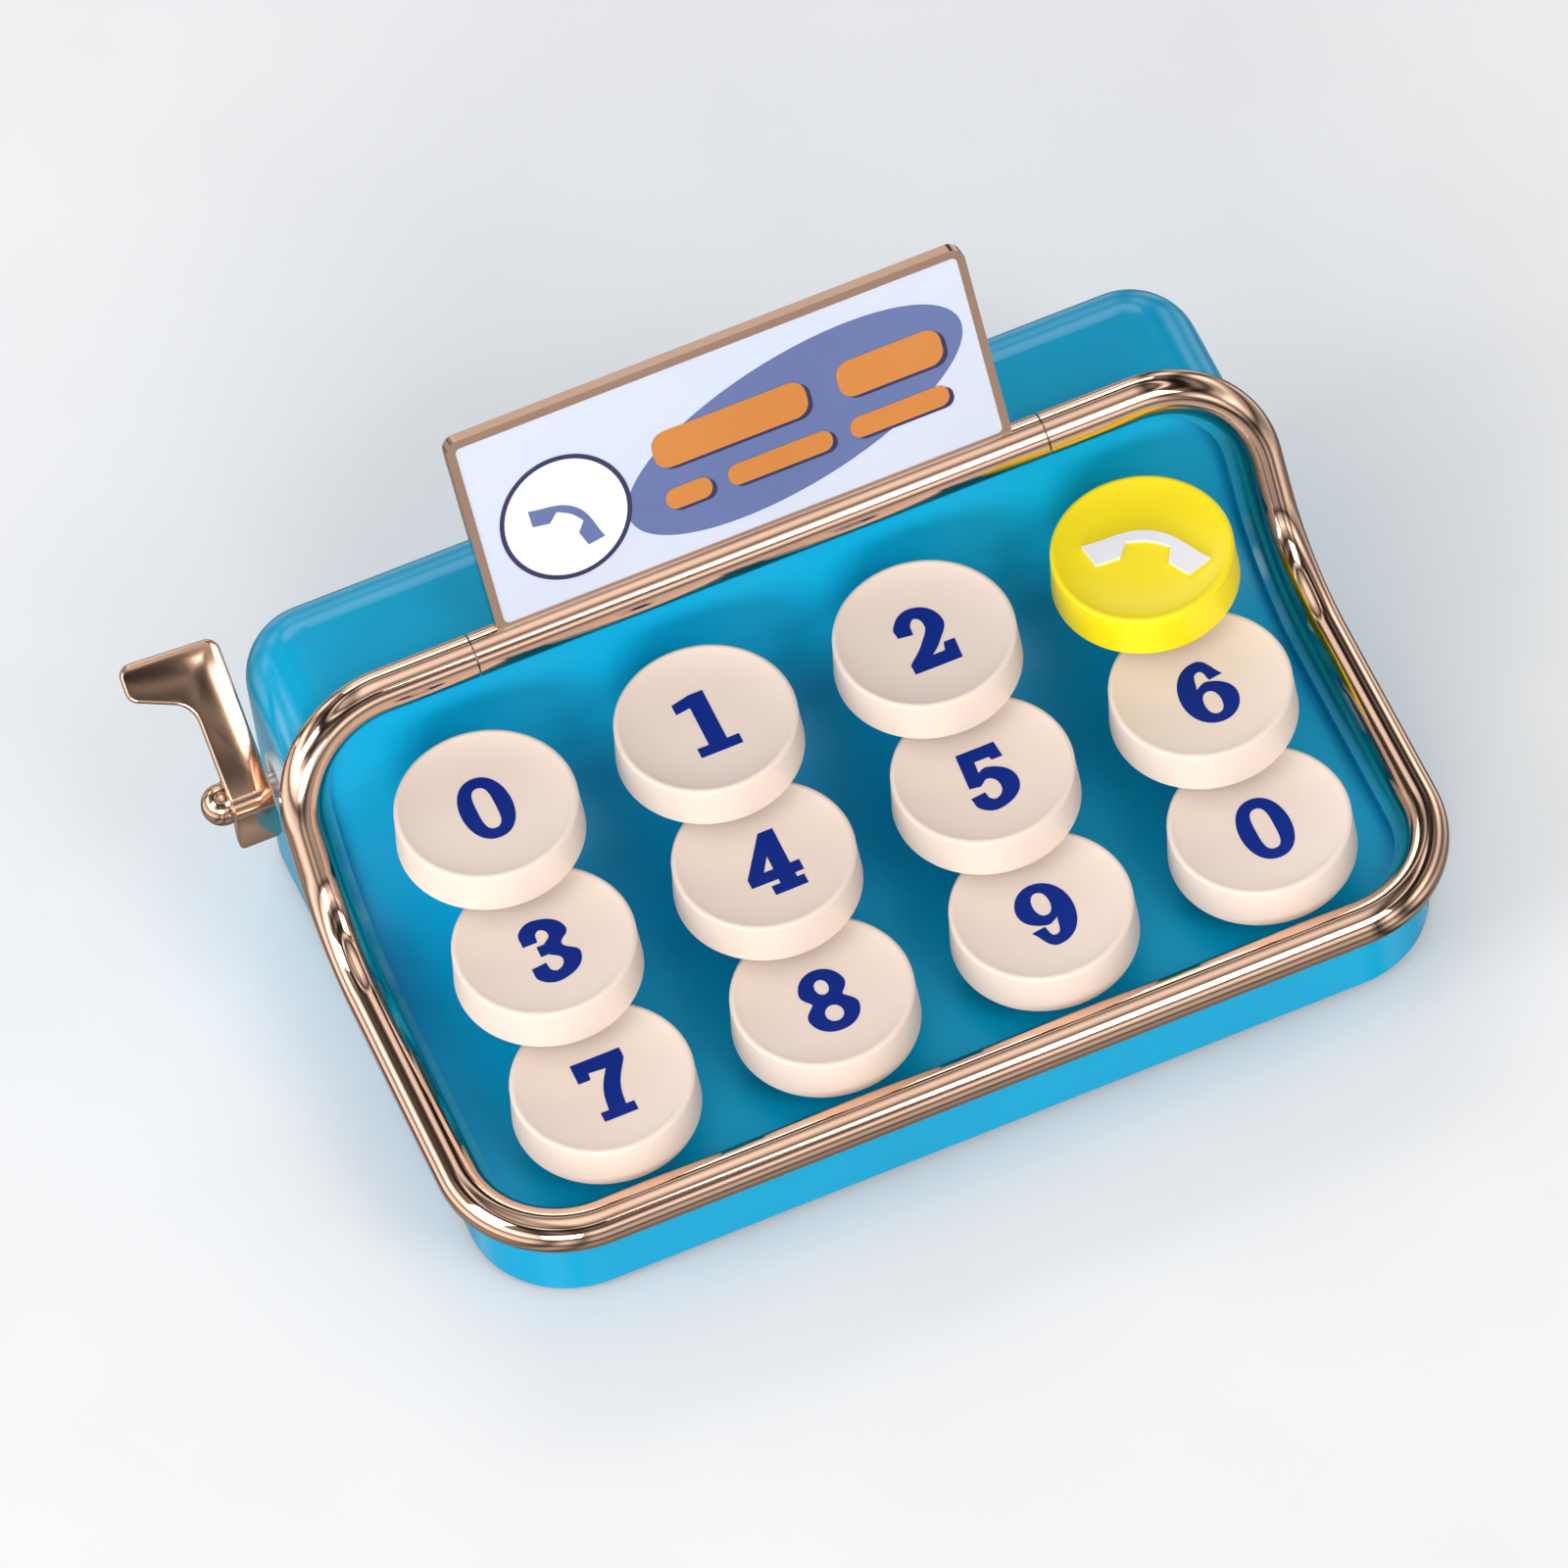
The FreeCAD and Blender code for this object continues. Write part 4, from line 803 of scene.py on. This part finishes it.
def soft_light(name, spot, size, power, colour):
    """A rectangular light that faces the phone."""
    data = bpy.data.lights.new(name, "AREA")
    data.shape = "RECTANGLE"
    data.size, data.size_y = size
    data.energy = power
    data.color = colour
    light = bpy.data.objects.new(name, data)
    spot = Vector(spot)
    light.location = spot
    light.rotation_euler = (spot - LIGHT_AIM).to_track_quat("Z", "Y").to_euler()
    bpy.context.scene.collection.objects.link(light)


def ramp_node(tree, stops, colour=(1, 1, 1)):
    """A smooth ramp through (position, level) stops of one tint."""
    node = tree.nodes.new("ShaderNodeValToRGB")
    node.color_ramp.interpolation = "EASE"
    ramp = node.color_ramp.elements
    while len(ramp) < len(stops):
        ramp.new(0.5)
    for element, (position, level) in zip(ramp, stops):
        element.position = position
        element.color = (*(level * part for part in colour), 1)
    return node


def make_world():
    """A pale room. What it reflects has dark and bright bands, as between softboxes."""
    world = bpy.data.worlds.new("studio")
    bpy.context.scene.world = world
    world.use_nodes = True
    tree = world.node_tree
    tree.nodes.clear()
    ray = tree.nodes.new("ShaderNodeLightPath")
    place = tree.nodes.new("ShaderNodeTexCoord")
    split = tree.nodes.new("ShaderNodeSeparateXYZ")
    heights = ramp_node(tree, HEIGHT_BANDS, BAND_TINT)
    sides = ramp_node(tree, SIDE_BANDS)
    across = add(tree, "ShaderNodeMapRange", From_Min=-1.0, From_Max=1.0)
    rise = add(tree, "ShaderNodeMapRange", From_Min=-1.0, From_Max=1.0)
    both = tree.nodes.new("ShaderNodeMix")
    both.data_type, both.blend_type = "RGBA", "MULTIPLY"
    both.inputs[MIX_FACTOR].default_value = 1.0
    plain = add(tree, "ShaderNodeBackground", Color=ROOM_COLOUR, Strength=ROOM_LEVEL)
    banded = add(tree, "ShaderNodeBackground", Strength=1.0)
    mix = tree.nodes.new("ShaderNodeMixShader")
    out = tree.nodes.new("ShaderNodeOutputWorld")
    tree.links.new(place.outputs["Generated"], split.inputs["Vector"])
    tree.links.new(split.outputs["Z"], rise.inputs["Value"])
    tree.links.new(rise.outputs["Result"], heights.inputs["Fac"])
    tree.links.new(split.outputs["X"], across.inputs["Value"])
    tree.links.new(across.outputs["Result"], sides.inputs["Fac"])
    tree.links.new(heights.outputs["Color"], both.inputs[MIX_FIRST])
    tree.links.new(sides.outputs["Color"], both.inputs[MIX_SECOND])
    tree.links.new(both.outputs[MIX_RESULT], banded.inputs["Color"])
    tree.links.new(ray.outputs["Is Glossy Ray"], mix.inputs[0])
    tree.links.new(plain.outputs["Background"], mix.inputs[1])
    tree.links.new(banded.outputs["Background"], mix.inputs[2])
    tree.links.new(mix.outputs["Shader"], out.inputs["Surface"])


def make_studio():
    """The room, its lights and the floor, which the plated parts don't reflect."""
    make_world()
    for light in LIGHTS:
        soft_light(*light)
    bpy.ops.mesh.primitive_plane_add(size=FLOOR_SIZE, location=(0, 0, 0))
    floor = bpy.context.object
    floor.name = "floor"
    floor.data.materials.append(plastic("floor_paper", FLOOR_PALE, FLOOR_PALER, (0.75, 0.85), 0.02))
    floor.visible_glossy = False
    bpy.context.scene.view_settings.view_transform = "Standard"


make_camera()
dress_nodes()
make_keys()
make_sign()
make_frame()
make_lever()
make_studio()
